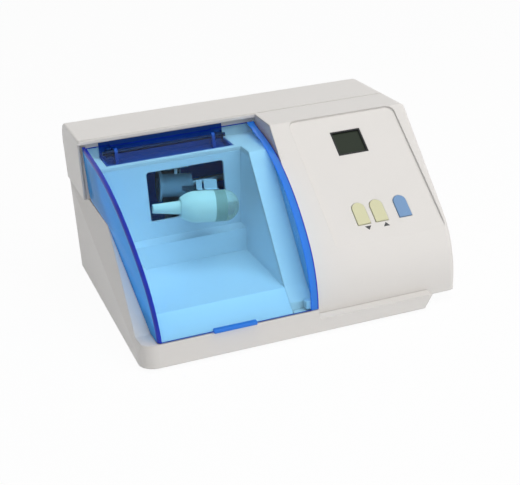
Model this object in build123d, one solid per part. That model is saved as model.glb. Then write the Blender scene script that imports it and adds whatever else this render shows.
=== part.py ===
"""Dental amalgamator: a desktop mixer that shakes a capsule of filling material.

Millimetres, +X to the right, +Y to the back, +Z up. Every size is laid out from the
design datum, the front left bottom corner of the base tray. When a piece is written it
is moved so that the origin is the middle of the footprint, on the surface that the feet
stand on.
"""

import math
import os

from build123d import *

# ---------------------------------------------------------------- driving dimensions
# Housing
BASE_DEPTH = 214.0            # front to back
BASE_RIGHT = 200.0            # right end of the tray at its underside
BASE_END_TAPER = 33.0         # degrees, lean of the tray's right end
CHEEK_LEFT = -3.5             # outer face of the tall left cheek
TRAY_LIP = 9.5                # height of the tray's rim, front right
TRAY_CORNER = 12.0            # plan radius of the front left corner
SHOULDER_FRONT = (10.0, 8.0)  # depth and height where the cheek's shoulder starts
SHOULDER_REAR = (9.0, 72.0)   # in from the rear end, and height
WALL = 2.5                    # moulded wall
FLOOR = 2.5                   # tray floor
FIT = 0.4                     # gap between fixed mouldings
HOUSING_TOP = 119.5
HOUSING_BOTTOM = 5.0          # underside of the overhang on the right
HOUSING_FRONT = 9.0           # front face of the control side
NOSE_BOTTOM = 13.5            # where the front face starts to curve back
NOSE_RADIUS = 59.0
PANEL_SLOPE = 40.0            # degrees from level
REAR_TOP_RADIUS = 18.0
RIGHT_FRONT = 229.0           # right face at the front, low down
RIGHT_FLARE = 0.05            # the right face spreads by this much per mm of depth
RIGHT_DRAFT = 0.05            # and by this much per mm of height
SIDE_EDGE = 5.0               # radius along the right-hand edges
GROOVE_FRONT = 137.5          # front edge of the rear top strip
RISER_Y = 143.5               # riser under the strip, behind the lid
STEP_GAP = 0.8                # between the lid and the step beside it
LEFT_EDGE = 1.5               # radius along the upper left edges
OVERHANG_START = 4.0          # the closed underside starts this far beyond the tray
GROOVE_GAP = 1.6              # from that edge to the groove
GROOVE_WIDTH = 2.6
GROOVE_DEPTH = 0.8

# Lid
LID_FRONT = 0.5
LID_BOTTOM = 17.0
LID_WALL = 2.4
LID_NOSE_RADIUS = 62.0
LID_ROOF_RADIUS = 160.0
LID_BREAK = 48.0              # degrees, where the two radii meet
LID_TOP_SLOPE = 9.0           # degrees, roof slope at the hinge
LID_REAR = 139.0
LID_CHEEK_BEHIND = 1.5        # the lid's right wall ends this far behind the hinge axis
LID_WALL_BEHIND = 2.0         # its left wall reaches this far behind the roof
LID_LEFT = 8.8                # outer left face at the front bottom corner
LID_RIGHT = 121.0             # outer right face at the front bottom corner
LID_LEAN = 0.04               # spread of both side faces per mm of depth and of height
LID_GAP = 0.5                 # clearance under the lid's edges
RIM_KNEE = (96.0, 68.5)       # where the left rim turns level, depth and height
RIM_FRONT = 18.0              # depth at which the left rim starts to climb
RIM_REAR = (146.0, 73.0)      # lower rear corner of the lid's left wall
RIM_ROUND = 8.0
HINGE_Y = 134.0
HINGE_DROP = 5.6              # hinge axis under the roof's outer face
HINGE_PIN = 1.5               # pin radius
HINGE_BOSS = 3.5
HINGE_FIT = 0.05
HINGE_LUG = 5.0               # width of each hinge tongue
HINGE_SPAN = 88.0             # between the outer faces of the two tongues
NOTCH_LAP = 0.75              # the roof is cut back between the tongues, less this much
NOTCH_Y = 137.0               # and behind this depth
TAB_WIDTH = 30.0
TAB_REACH = 3.0
TAB_DROP = 2.5
TAB_CENTRE = 61.0
MAGNET_SIZE = (6.5, 5.0, 5.5)
MAGNET_FRONT = 3.2
REED_RADIUS = 1.3
REED_LENGTH = 10.0
BRACKET_EAR = 2.5             # hinge brackets: thickness and half width of an ear
BRACKET_ROUND = 2.8
BRACKET_SHEET = 1.2           # the folded tray that carries the ears
BRACKET_TOP = 1.0             # its upstand ends this far under the strip
BRACKET_ENDS = 0.6            # and this far inside the lid's notch
BRACKET_GAP = 0.8             # between a hinge tongue and its bracket
PIN_OVER = 2.5                # the pin runs this far past the tongues

# Mixing chamber
CHAMBER_FLOOR = 29.0
CHAMBER_FRONT = 20.0          # where the floor meets the front lip
SKIRT_LAP = 2.0               # the chamber's skirt reaches this far behind the tray's rim
STEP_Y = 98.0                 # riser behind the floor
STEP_Z = 46.0                 # top of the step
BACK_Y = 112.0                # face of the back wall
SHELF_DROP = 6.3              # shelf over the back wall, under the roof's outer face
BAY_TOP_Y = 94.5              # where the bay's slope beside the chamber meets the shelf
CHAMBER_LEFT_FRONT = 13.0     # left edge of the floor at its front
CHAMBER_LEFT_REAR = 27.0      # and at the riser
CHAMBER_LEFT_LEAN = 0.55      # sideways lean of the left wall per mm of height
CHAMBER_RIGHT = 104.0
CHAMBER_RIGHT_LEAN = 0.08
WINDOW_LEFT = 37.6
WINDOW_RIGHT = 95.5
WINDOW_BELOW = 18.6           # window under and over the motor's axis
WINDOW_ABOVE = 18.5
WINDOW_CORNER = 2.0
SLOT_LEFT = 11.0
SLOT_RIGHT = 106.5
WELL_DEPTH = 5.0              # depth of the hinge well under the shelf
POST_RADIUS = 4.0             # posts that carry the chamber
POST_PLACES = ((32.0, 42.0), (88.0, 42.0), (60.0, 84.0))

# Control side, places along the slope measured from where the nose ends
RECESS_LEFT = 144.0
RECESS_RIGHT = 228.0
RECESS_DEPTH = 1.5
RECESS_CORNER = 6.0
DISPLAY_X = 184.4
DISPLAY_UP = 69.8
DISPLAY_WIDTH = 23.5
DISPLAY_HEIGHT = 21.0
DISPLAY_FRAME = 1.2
DISPLAY_SINK = 1.2
KEY_WIDTH = 9.6
KEY_LENGTH = 17.6
KEY_UP = 9.6                  # middle of the keys
KEY_XS = (170.5, 184.2, 202.6)
KEY_PROUD = 0.8
KEY_FIT = 0.3
KEY_TRAVEL = 0.6
KEY_FLANGE = 1.0              # lip that keeps the key in
KEY_FLANGE_THICK = 0.8
SWITCH_SIZE = 6.0
SWITCH_HEIGHT = 2.4
SWITCH_TIP = 0.5
SWITCH_TIP_RADIUS = 1.7
SWITCH_GAP = 0.3              # left over when the key is right down
KEY_STEM_RADIUS = 1.8
MODULE_MARGIN = 3.0
BOARD_LEFT = 150.0
BOARD_RIGHT = 222.0
BOARD_LOW = 2.0
BOARD_HIGH = 90.0
BOARD_BOSS_RADIUS = 3.0
BOARD_BOSS_EDGE = 4.0
BOARD_DEPTH = 11.0            # control board under the recess
BOARD_THICK = 1.6

# Screws
SCREW_RADIUS = 1.5
SCREW_HEAD = 3.0
SCREW_HEAD_THICK = 1.8
SCREW_FIT = 0.08
SEAT_FIT = 0.02               # pressed seats

# Shaker
AXIS_Y = 131.0
AXIS_DROP = 26.4              # motor and hub axis under the shelf
HUB_X = 63.0                  # centre of the wobble
HUB_RADIUS = 8.6
HUB_LENGTH = 23.0
HUB_BORE = 5.2
FLANGE_RADIUS = 12.0
FLANGE_THICK = 2.0
JOURNAL_RADIUS = 6.0
JOURNAL_LENGTH = 7.0
JOURNAL_FIT = 0.08
RACE_RADIUS = 7.6
RACE_LENGTH = 6.0
SHAFT_RADIUS = 2.5
SHAFT_FIT = 0.05
STUD_RADIUS = 1.2
STUD_TOP = 17.0               # above the hub's centre
STUD_SEAT = 1.0               # depth of the stud in the hub
REST_YAW = 5.0                # degrees that the arm stands round at rest
REST_TILT = 6.0               # degrees that the hub leans to the right at rest
CAPSULE_X = 6.1               # middle of the capsule from the hub, along X
CAPSULE_FORWARD = 46.0        # capsule axis in front of the hub axis
CAPSULE_DROP = 3.0            # and under it
CAPSULE_RADIUS = 11.2
CAPSULE_WALL = 1.2
CAPSULE_BODY = 12.0
CAPSULE_CONE = 12.0
CAPSULE_NECK = 4.8
CAPSULE_SHOULDER = 7.0        # radius of the body where the nozzle meets it
NOZZLE_LENGTH = 19.5
NOZZLE_TIP = 3.2
NOZZLE_BORE = 1.6
RING_WIDTH = 8.0
RING_STEP = 0.6               # the ring's seat in the capsule
DOME_LENGTH = 10.4
DOME_PLUG = 3.0
CLIP_X = 15.0                 # middle of the clip from the hub, along X
CLIP_GAP = 0.3
CLIP_THICK = 0.8
CLIP_WIDTH = 15.0
CLIP_SWEEP = 168.0            # degrees of the capsule that the clip embraces
CLIP_LEAF = 6.5               # the leaf on the clip stands out this far
CLIP_LEAF_AT = 62.0           # degrees above level, seen from the capsule's axis
CLIP_SLOT = 1.4
CLIP_SLOT_X = -3.4
ARM_THICK = 3.0
ARM_WIDTH = 13.0
ARM_ROOT = 10.0               # width where the arm meets the hub
SADDLE_THICK = 3.0
SADDLE_HEIGHT = 12.0

# Motor and its cradle
MOTOR_LEFT = 120.0
MOTOR_LENGTH = 52.0
MOTOR_RADIUS = 20.0
MOTOR_WALL = 1.6
SHIELD_THICK = 3.0
SHIELD_BOSS = 8.0
BEARING_RADIUS = 6.0
BEARING_THICK = 4.0
ARMATURE_RADIUS = 16.0
ARMATURE_GAP = 7.0            # from the armature to each end shield
SHAFT_REACH = 14.0            # past the motor, for the fan
CRADLE_LEFT = 40.0
CRADLE_RIGHT = 180.0
CRADLE_THICK = 2.0
CRADLE_WIDTH = 46.0
CRADLE_Z = 14.0               # underside of the cradle plate
CRADLE_EDGE = 7.0             # mounts in from the plate's edges
CRADLE_RIB = 3.0
CRADLE_RIB_WIDTH = 32.0
CRADLE_RIB_DROP = 11.0        # top of the ribs under the motor's axis
CRADLE_RIB_INSET = 8.0
MOUNT_RADIUS = 6.5
MOUNT_SCREW_DEPTH = 8.0
FAN_RADIUS = 18.0
FAN_HUB = 6.0
FAN_THICK = 7.0
FAN_BLADES = 7
FAN_BLADE = 1.4
FAN_PITCH = 35.0              # degrees
FAN_GAP = 4.0
LEAF_THICK = 1.2
LEAF_WIDTH = 16.0
LEAF_REAR = 151.0
LEAF_FRONT = 125.0
LEAF_ABOVE = 14.0             # leaf over the motor's axis
GROMMET_RADIUS = 4.0
GROMMET_THICK = 3.0
GROMMET_BORE = 1.7

# Power side
POWER_LEFT = 164.0
POWER_RIGHT = 194.0
POWER_FRONT = 28.0
POWER_REAR = 100.0
POWER_Z = 8.0
POWER_THICK = 1.6
STANDOFF_RADIUS = 3.0
CAPACITOR_RADIUS = 5.0
CAPACITOR_HEIGHT = 16.0
RELAY_SIZE = (12.0, 15.0, 14.0)
TERMINAL_SIZE = (18.0, 8.0, 10.0)
CORE_LEFT = 118.0
CORE_WIDTH = 40.0
CORE_FRONT = 36.0
CORE_DEPTH = 24.0
CORE_HEIGHT = 34.0
CORE_LEG = 7.0                # outer legs; the middle leg is twice as wide
COIL_OVER = 6.0
COIL_GAP = 0.2
RIBBON_LEFT = 174.0
RIBBON_WIDTH = 10.0
RIBBON_THICK = 0.6
RIBBON_Y = 61.0
INLET_X = 196.0
INLET_Z = 36.0
INLET_WIDTH = 27.0
INLET_HEIGHT = 30.0
INLET_FLANGE = 2.5
PLATE_THICK = 1.5             # flanges on the rear face
INLET_DEPTH = 24.0
SOCKET_WIDTH = 22.0
SOCKET_HEIGHT = 14.0
SOCKET_DEPTH = 17.0
SOCKET_UP = 5.0
PIN_WIDTH = 2.0
PIN_HEIGHT = 5.0
PIN_LENGTH = 14.0
PIN_PITCH = 7.0
EARTH_DROP = 3.0
DRAWER_WIDTH = 18.0
DRAWER_HEIGHT = 6.4
DRAWER_DEPTH = 18.0
DRAWER_DOWN = 9.0
DRAWER_FIT = 0.3
DRAWER_WALL = 1.0
FUSE_RADIUS = 1.9
ROCKER_X = 158.0
ROCKER_WIDTH = 20.0
ROCKER_HEIGHT = 13.0
ROCKER_DEPTH = 15.0
ROCKER_WALL = 1.4
ROCKER_FLANGE = 1.6
ROCKER_RADIUS = 8.1
ROCKER_PIVOT = 3.5            # pivot behind the rear face
ROCKER_TOP = 4.6
ROCKER_FIT = 0.3
ROCKER_ANGLE = 9.0
VENT_X = 70.0
VENT_Z = 30.0
VENT_COUNT = 6
VENT_PITCH = 7.0
VENT_LENGTH = 60.0
VENT_WIDTH = 3.0
FOOT_RADIUS = 6.5
FOOT_PROUD = 2.5
FOOT_SINK = 1.0
FOOT_INSET = (16.0, 18.0)     # feet in from the tray's ends and from its front and rear
FOOT_BOSS = 8.0
BOSS_RADIUS = 4.5
BOSS_HEIGHT = 17.0
BOSS_FRONT_XS = (140.0, 169.0)
BOSS_FRONT_INSET = 8.0        # front bosses behind the front face
BOSS_REAR_XS = (30.0, 174.0)
BOSS_REAR_INSET = 7.0         # rear bosses in front of the rear face

BIG = 600.0


# ---------------------------------------------------------------- small helpers
def slab(face, left, right):
    """A face drawn in depth and height, pushed along X from left to right."""
    return Pos(left, 0, 0) * extrude(Plane.YZ * face, amount=right - left)


def block(x, y, z):
    """A box given by its (low, high) limits on each axis."""
    size = (x[1] - x[0], y[1] - y[0], z[1] - z[0])
    return Pos(x[0], y[0], z[0]) * Box(*size, align=(Align.MIN, Align.MIN, Align.MIN))


def polygon(*points):
    return make_face(Polyline(*points, close=True))


def half_space(point, normal):
    """Everything on the side of the point that the normal looks to."""
    side = (Align.CENTER, Align.CENTER, Align.MIN)
    return Plane(origin=point, z_dir=normal) * Box(BIG, BIG, BIG, align=side)


def rod(radius, start, end):
    """A round bar between two points."""
    axis = Vector(*end) - Vector(*start)
    side = (Align.CENTER, Align.CENTER, Align.MIN)
    return Plane(origin=start, z_dir=axis) * Cylinder(radius, axis.length, align=side)


def polar(centre, radius, angle):
    turn = math.radians(angle)
    return (centre[0] + radius * math.cos(turn), centre[1] + radius * math.sin(turn))


# ---------------------------------------------------------------- shared outlines
def nose_centre():
    return (HOUSING_FRONT + NOSE_RADIUS, NOSE_BOTTOM)


def slope_start():
    """Depth and height where the nose ends and the flat slope starts."""
    return polar(nose_centre(), NOSE_RADIUS, 90 + PANEL_SLOPE)


def slope_end():
    y, z = slope_start()
    return (y + (HOUSING_TOP - z) / math.tan(math.radians(PANEL_SLOPE)), HOUSING_TOP)


def housing_face():
    """Side view of the upper housing."""
    rear = (BASE_DEPTH - REAR_TOP_RADIUS, HOUSING_TOP - REAR_TOP_RADIUS)
    edges = [
        Line((BASE_DEPTH, HOUSING_BOTTOM), (BASE_DEPTH, rear[1])),
        CenterArc(rear, REAR_TOP_RADIUS, 0, 90),
        Line((rear[0], HOUSING_TOP), slope_end()),
        Line(slope_end(), slope_start()),
        CenterArc(nose_centre(), NOSE_RADIUS, 90 + PANEL_SLOPE, 90 - PANEL_SLOPE),
        Line((HOUSING_FRONT, NOSE_BOTTOM), (HOUSING_FRONT, HOUSING_BOTTOM)),
        Line((HOUSING_FRONT, HOUSING_BOTTOM), (BASE_DEPTH, HOUSING_BOTTOM)),
    ]
    return make_face(edges)


def lid_under(inset, rear, bottom):
    """Side view of what lies under the lid's roof, that far inside its outer face."""
    nose = (LID_FRONT + LID_NOSE_RADIUS, LID_BOTTOM)
    meet = polar(nose, LID_NOSE_RADIUS, 90 + LID_BREAK)
    roof = polar(meet, LID_ROOF_RADIUS, LID_BREAK - 90)
    top = polar(roof, LID_ROOF_RADIUS - inset, 90 + LID_TOP_SLOPE)
    end = (rear, top[1] + (rear - top[0]) * math.tan(math.radians(LID_TOP_SLOPE)))
    start = polar(nose, LID_NOSE_RADIUS - inset, 180)
    edges = [
        CenterArc(nose, LID_NOSE_RADIUS - inset, 90 + LID_BREAK, 90 - LID_BREAK),
        CenterArc(roof, LID_ROOF_RADIUS - inset, 90 + LID_TOP_SLOPE, LID_BREAK - LID_TOP_SLOPE),
        Line(top, end),
        Line(end, (rear, bottom)),
        Line((rear, bottom), (start[0], bottom)),
        Line((start[0], bottom), start),
    ]
    return make_face([edge for edge in edges if edge.length > 1e-6])


def lid_roof(y):
    """Height of the lid's outer face on its straight rear part."""
    nose = (LID_FRONT + LID_NOSE_RADIUS, LID_BOTTOM)
    meet = polar(nose, LID_NOSE_RADIUS, 90 + LID_BREAK)
    roof = polar(meet, LID_ROOF_RADIUS, LID_BREAK - 90)
    top = polar(roof, LID_ROOF_RADIUS, 90 + LID_TOP_SLOPE)
    return top[1] + (y - top[0]) * math.tan(math.radians(LID_TOP_SLOPE))


def hinge_z():
    return lid_roof(HINGE_Y) - HINGE_DROP


def shelf_z():
    return lid_roof(BACK_Y) - SHELF_DROP


def axis_z():
    return shelf_z() - AXIS_DROP


def window_bottom():
    return axis_z() - WINDOW_BELOW


def window_top():
    return axis_z() + WINDOW_ABOVE


def leaf_z():
    return axis_z() + LEAF_ABOVE


def below_rim(drop, rear, front=-BIG, low=-BIG):
    """Side view of what lies under the left rim, lowered by drop."""
    return polygon(
        (front, low), (front, LID_BOTTOM - drop), (RIM_FRONT, LID_BOTTOM - drop),
        (RIM_KNEE[0], RIM_KNEE[1] - drop), (RIM_REAR[0], RIM_REAR[1] - drop),
        (rear, RIM_REAR[1] - drop), (rear, low),
    )


def lid_left_x(y, z):
    return LID_LEFT - LID_LEAN * (z - LID_BOTTOM) - LID_LEAN * y


def beyond_left(inset):
    """Space to the left of the lid's left face, moved in by inset."""
    return half_space((LID_LEFT + inset, 0, LID_BOTTOM), (-1, -LID_LEAN, -LID_LEAN))


def beyond_right(inset):
    """Space to the right of the lid's right face, moved in by inset."""
    return half_space((LID_RIGHT - inset, 0, LID_BOTTOM), (1, -LID_LEAN, -LID_LEAN))


def beyond_housing(inset):
    """Space to the right of the housing's right face, moved in by inset."""
    return half_space((RIGHT_FRONT - inset, 0, LID_BOTTOM), (1, -RIGHT_FLARE, -RIGHT_DRAFT))


# ---------------------------------------------------------------- base tray
def tray_plan(inset):
    right = BASE_RIGHT + TRAY_LIP - inset
    corner = TRAY_CORNER - inset
    plan = Rectangle(right - CHEEK_LEFT - inset, BASE_DEPTH - 2 * inset, align=(Align.MIN, Align.MIN))
    plan = Pos(CHEEK_LEFT + inset, inset) * plan
    lefts = plan.vertices().sort_by(Axis.X)[:2]
    return fillet(lefts, corner)


def shoulder(inset):
    """Space outside the leaning shoulder of the cheek, moved in by inset."""
    low = Vector(CHEEK_LEFT, SHOULDER_FRONT[0], SHOULDER_FRONT[1])
    high = Vector(CHEEK_LEFT, BASE_DEPTH - SHOULDER_REAR[0], SHOULDER_REAR[1])
    knee = Vector(lid_left_x(*RIM_KNEE), *RIM_KNEE)
    normal = (knee - low).cross(high - low).normalized()
    return half_space(low - normal * inset, normal)


def base_end(inset):
    """Space beyond the leaning right end of the tray."""
    lean = math.radians(BASE_END_TAPER)
    return half_space((BASE_RIGHT - inset, 0, 0), (math.cos(lean), 0, -math.sin(lean)))


def base_tray():
    plan = tray_plan(0)
    column = extrude(plan, amount=RIM_REAR[1])
    cheek = slab(below_rim(LID_GAP, BIG), CHEEK_LEFT - 1, LID_LEFT + LID_WALL) - beyond_cheek()
    rim = block((CHEEK_LEFT - 1, BIG), (-1, BIG), (-1, HOUSING_BOTTOM - FIT))
    ledge = block((LID_RIGHT, BIG), (-1, HOUSING_FRONT - FIT), (-1, TRAY_LIP))
    sill = block((CHEEK_LEFT - 1, LID_RIGHT), (-1, WALL), (-1, LID_BOTTOM - LID_GAP))
    corner = block((CHAMBER_RIGHT, LID_RIGHT), (-1, HOUSING_FRONT - FIT), (-1, LID_BOTTOM - LID_GAP))
    outer = column & (cheek + rim + ledge + sill + corner)
    outer = outer - shoulder(0) - base_end(0)
    hollow = extrude(tray_plan(WALL), amount=RIM_REAR[1])
    inner = hollow - block((-BIG, BIG), (-BIG, BIG), (-1, FLOOR))
    inner = inner - shoulder(WALL) - base_end(WALL)
    deck = slab(below_rim(LID_GAP + WALL, BIG), CHEEK_LEFT - 1, LID_LEFT + LID_WALL)
    open_top = block((LID_LEFT + LID_WALL, BIG), (HOUSING_FRONT - FIT, BIG), (-1, BIG))
    under_ledge = block((LID_RIGHT + WALL, BIG), (-1, HOUSING_FRONT), (-1, TRAY_LIP - WALL))
    under_corner = block((CHAMBER_RIGHT + WALL, LID_RIGHT - WALL), (-1, HOUSING_FRONT),
                         (-1, LID_BOTTOM - LID_GAP - WALL))
    sill_rear = block((LID_LEFT, CHAMBER_RIGHT), (-1, HOUSING_FRONT), (-1, BIG))
    tray = outer - (inner & (deck + open_top + under_ledge + under_corner + sill_rear))
    for x, y in POST_PLACES:
        tray = tray + rod(POST_RADIUS, (x, y, FLOOR / 2), (x, y, CHAMBER_FLOOR - WALL))
    return tray_screw_places(tray)


def boss_places():
    fronts = [(x, HOUSING_FRONT + BOSS_FRONT_INSET) for x in BOSS_FRONT_XS]
    return fronts + [(x, BASE_DEPTH - BOSS_REAR_INSET) for x in BOSS_REAR_XS]


def foot_places():
    xs = (FOOT_INSET[0], BASE_RIGHT - FOOT_INSET[0])
    return [(x, y) for y in (FOOT_INSET[1], BASE_DEPTH - FOOT_INSET[1]) for x in xs]


def tray_screw_places(tray):
    """Bosses, seats and holes for the feet, the housing and the power board."""
    for x, y in boss_places():
        tray = tray + rod(BOSS_RADIUS, (x, y, FLOOR / 2), (x, y, HOUSING_BOTTOM))
        tray = tray - rod(SCREW_RADIUS + SCREW_FIT, (x, y, -1), (x, y, HOUSING_BOTTOM + 1))
        tray = tray - rod(SCREW_HEAD + SCREW_FIT, (x, y, -1), (x, y, SCREW_HEAD_THICK))
    for x, y in foot_places():
        tray = tray + rod(BOSS_RADIUS, (x, y, FLOOR / 2), (x, y, FLOOR + FOOT_BOSS))
        tray = tray - rod(FOOT_RADIUS + SCREW_FIT, (x, y, -1), (x, y, FOOT_SINK))
        tray = tray - rod(SCREW_RADIUS + SCREW_FIT, (x, y, -1), (x, y, FLOOR + FOOT_BOSS / 2))
    for x, y in power_corners():
        tray = tray + rod(STANDOFF_RADIUS, (x, y, FLOOR / 2), (x, y, POWER_Z))
    return tray


def power_corners():
    edge = STANDOFF_RADIUS + 1
    xs = (POWER_LEFT + edge, POWER_RIGHT - edge)
    return [(x, y) for x in xs for y in (POWER_FRONT + edge, POWER_REAR - edge)]


def beyond_cheek():
    """Space to the right of the cheek, whose inner side is the lid's inner face."""
    return half_space((LID_LEFT + LID_WALL, 0, LID_BOTTOM), (1, LID_LEAN, LID_LEAN))


# ---------------------------------------------------------------- upper housing
def lip_start():
    """Depth and height of the front edge that the chamber's lip rises from."""
    return (LID_FRONT + LID_WALL + LID_GAP, LID_BOTTOM)


def bay_face(inset):
    """Side view of the housing where it runs on under the lid."""
    under = lid_under(LID_WALL + LID_GAP, RISER_Y, -BIG)
    low = polygon((-BIG, -BIG), (-BIG, LID_BOTTOM), lip_start(), (CHAMBER_FRONT, CHAMBER_FLOOR),
                  (BAY_TOP_Y, shelf_z()), (RISER_Y, shelf_z()), (RISER_Y, -BIG))
    front = housing_face() & under & low
    rear = housing_face() & polygon((RISER_Y, -BIG), (RISER_Y, BIG), (BIG, BIG), (BIG, -BIG))
    face = front + rear
    return offset(face, -inset, kind=Kind.INTERSECTION) if inset else face


def top_strip():
    """The rear strip's front edge, which overhangs the lid's hinge."""
    return polygon(
        (GROOVE_FRONT, HOUSING_TOP - WALL), (GROOVE_FRONT, HOUSING_TOP),
        (RISER_Y + WALL, HOUSING_TOP), (RISER_Y + WALL, HOUSING_TOP - WALL),
    )


def housing_block():
    """Outer form of the control side and the rear, before it is hollowed."""
    form = slab(housing_face(), CHEEK_LEFT, BIG / 2) - beyond_housing(0)
    right = form.faces().sort_by(Axis.X)[-1]
    form = fillet(right.edges().filter_by(lambda e: e.center().Z > HOUSING_BOTTOM + 1), SIDE_EDGE)
    left = form.faces().sort_by(Axis.X)[0]
    rear = left.edges().filter_by(lambda e: e.center().Y > RIM_KNEE[0] and e.center().Z > RIM_REAR[1])
    return fillet(rear, LEFT_EDGE)


def step_plane(inset):
    return beyond_right(inset - STEP_GAP)


def bay_block():
    """Everything that the lid's bay takes off the outer form."""
    wide = slab(polygon((-BIG, -BIG), (-BIG, BIG), (RISER_Y, BIG), (RISER_Y, -BIG)), -BIG / 2, BIG / 2)
    wide = wide - step_plane(0)
    keep = slab(bay_face(0) + top_strip(), -BIG / 2, BIG / 2)
    return wide - keep


def upper_housing():
    form = housing_block() - bay_block()
    deep = slab(offset(housing_face(), -WALL, kind=Kind.INTERSECTION), CHEEK_LEFT + WALL, BIG / 2)
    deep = deep & (slab(polygon((RISER_Y + WALL, -BIG), (RISER_Y + WALL, BIG), (BIG, BIG), (BIG, -BIG)),
                        -BIG / 2, BIG / 2) + step_plane(-WALL))
    shallow = slab(bay_face(WALL), CHEEK_LEFT + WALL, BIG / 2)
    opening = block((-BIG / 2, BASE_RIGHT + OVERHANG_START), (HOUSING_FRONT + WALL, BASE_DEPTH - WALL),
                    (-BIG, HOUSING_BOTTOM + WALL + 1))
    return form - ((deep + shallow) - beyond_housing(WALL)) - opening


def chamber_right(inset):
    """Space beyond the chamber's right wall, moved in by inset."""
    point = (CHAMBER_RIGHT - inset, CHAMBER_FRONT, CHAMBER_FLOOR)
    return half_space(point, (1, 0, -CHAMBER_RIGHT_LEAN))


def chamber_left(inset):
    """Space beyond the chamber's slanted left wall, moved in by inset."""
    spread = (CHAMBER_LEFT_REAR - CHAMBER_LEFT_FRONT) / (STEP_Y - CHAMBER_FRONT)
    normal = Vector(-1, spread, -CHAMBER_LEFT_LEAN).normalized()
    point = Vector(CHAMBER_LEFT_FRONT, CHAMBER_FRONT, CHAMBER_FLOOR) - normal * inset
    return half_space(point, normal)


def lid_swing():
    """Side view of the room that the lid's left wall needs."""
    strip = HOUSING_TOP - WALL
    return polygon((-BIG, -BIG), (-BIG, BIG), (GROOVE_FRONT, BIG), (GROOVE_FRONT, strip), (RISER_Y, strip),
                   (RIM_REAR[0] + 2 * LID_GAP, RIM_REAR[1]), (RIM_REAR[0] + 2 * LID_GAP, -BIG))


def bay_side_wall():
    """Wall between the lid's left wall and the space behind the chamber."""
    side = polygon((BACK_Y + WALL, window_bottom()), (BACK_Y + WALL, shelf_z()),
                   (RISER_Y + WALL, shelf_z()), (RISER_Y + WALL, window_bottom()))
    inset = LID_WALL + LID_GAP
    wall = slab(side, CHEEK_LEFT, CHAMBER_LEFT_REAR) - beyond_left(inset)
    return wall - half_space((LID_LEFT + inset + WALL, 0, LID_BOTTOM), (1, LID_LEAN, LID_LEAN))


def on_slope(along, up, depth=0.0):
    """A frame lying on the slope: local X to the right, local Y up the slope."""
    y, z = slope_start()
    lean = math.radians(PANEL_SLOPE)
    y += up * math.cos(lean) + depth * math.sin(lean)
    z += up * math.sin(lean) - depth * math.cos(lean)
    return Plane(origin=(along, y, z), x_dir=(1, 0, 0), z_dir=(0, -math.sin(lean), math.cos(lean)))


def key_outline(width, length):
    """A key seen from above: square at the foot, round at the head."""
    radius = width / 2
    foot = Pos(0, -radius / 2) * Rectangle(width, length - radius)
    return foot + Pos(0, length / 2 - radius) * Circle(radius)


def recess():
    """Shallow field for the display and keys, which runs out on the nose."""
    y, z = slope_start()
    length = (HOUSING_TOP - z) / math.sin(math.radians(PANEL_SLOPE)) + NOSE_RADIUS / 2
    field = Rectangle(RECESS_RIGHT - RECESS_LEFT, length)
    field = fillet(field.vertices(), RECESS_CORNER)
    place = on_slope((RECESS_LEFT + RECESS_RIGHT) / 2, length / 2 - NOSE_RADIUS / 2, RECESS_DEPTH)
    return place * extrude(field, amount=4 * RECESS_DEPTH)


def display_opening():
    size = (DISPLAY_WIDTH, DISPLAY_HEIGHT, 4 * WALL)
    return on_slope(DISPLAY_X, DISPLAY_UP, RECESS_DEPTH) * Box(*size)


def key_openings():
    outline = key_outline(KEY_WIDTH + 2 * KEY_FIT, KEY_LENGTH + 2 * KEY_FIT)
    hole = Pos(0, 0, -2 * WALL) * extrude(outline, amount=4 * WALL)
    return [on_slope(x, KEY_UP, RECESS_DEPTH) * hole for x in KEY_XS]


def panel_backing():
    """Extra wall behind the recess, so that the housing keeps its thickness there."""
    width = RECESS_RIGHT - RECESS_LEFT
    length = slope_length() - WALL
    plate = Box(width, length, WALL, align=(Align.CENTER, Align.CENTER, Align.MAX))
    return on_slope((RECESS_LEFT + RECESS_RIGHT) / 2, slope_length() / 2 - WALL, RECESS_DEPTH) * plate


def slope_length():
    return (HOUSING_TOP - slope_start()[1]) / math.sin(math.radians(PANEL_SLOPE))


def groove():
    front = GROOVE_FRONT + GROOVE_GAP
    depth = (HOUSING_TOP - GROOVE_DEPTH, HOUSING_TOP + 1)
    return block((-BIG / 2, BIG / 2), (front, front + GROOVE_WIDTH), depth)


def rear_openings():
    inlet = Pos(INLET_X, BASE_DEPTH, INLET_Z) * Box(INLET_WIDTH, 4 * WALL, INLET_HEIGHT)
    switch = Pos(ROCKER_X, BASE_DEPTH, INLET_Z) * Box(ROCKER_WIDTH, 4 * WALL, ROCKER_HEIGHT)
    slots = [inlet, switch]
    for step in range(VENT_COUNT):
        slot = Box(VENT_LENGTH, 4 * WALL, VENT_WIDTH)
        slots.append(Pos(VENT_X, BASE_DEPTH, VENT_Z + step * VENT_PITCH) * slot)
    return slots


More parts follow.
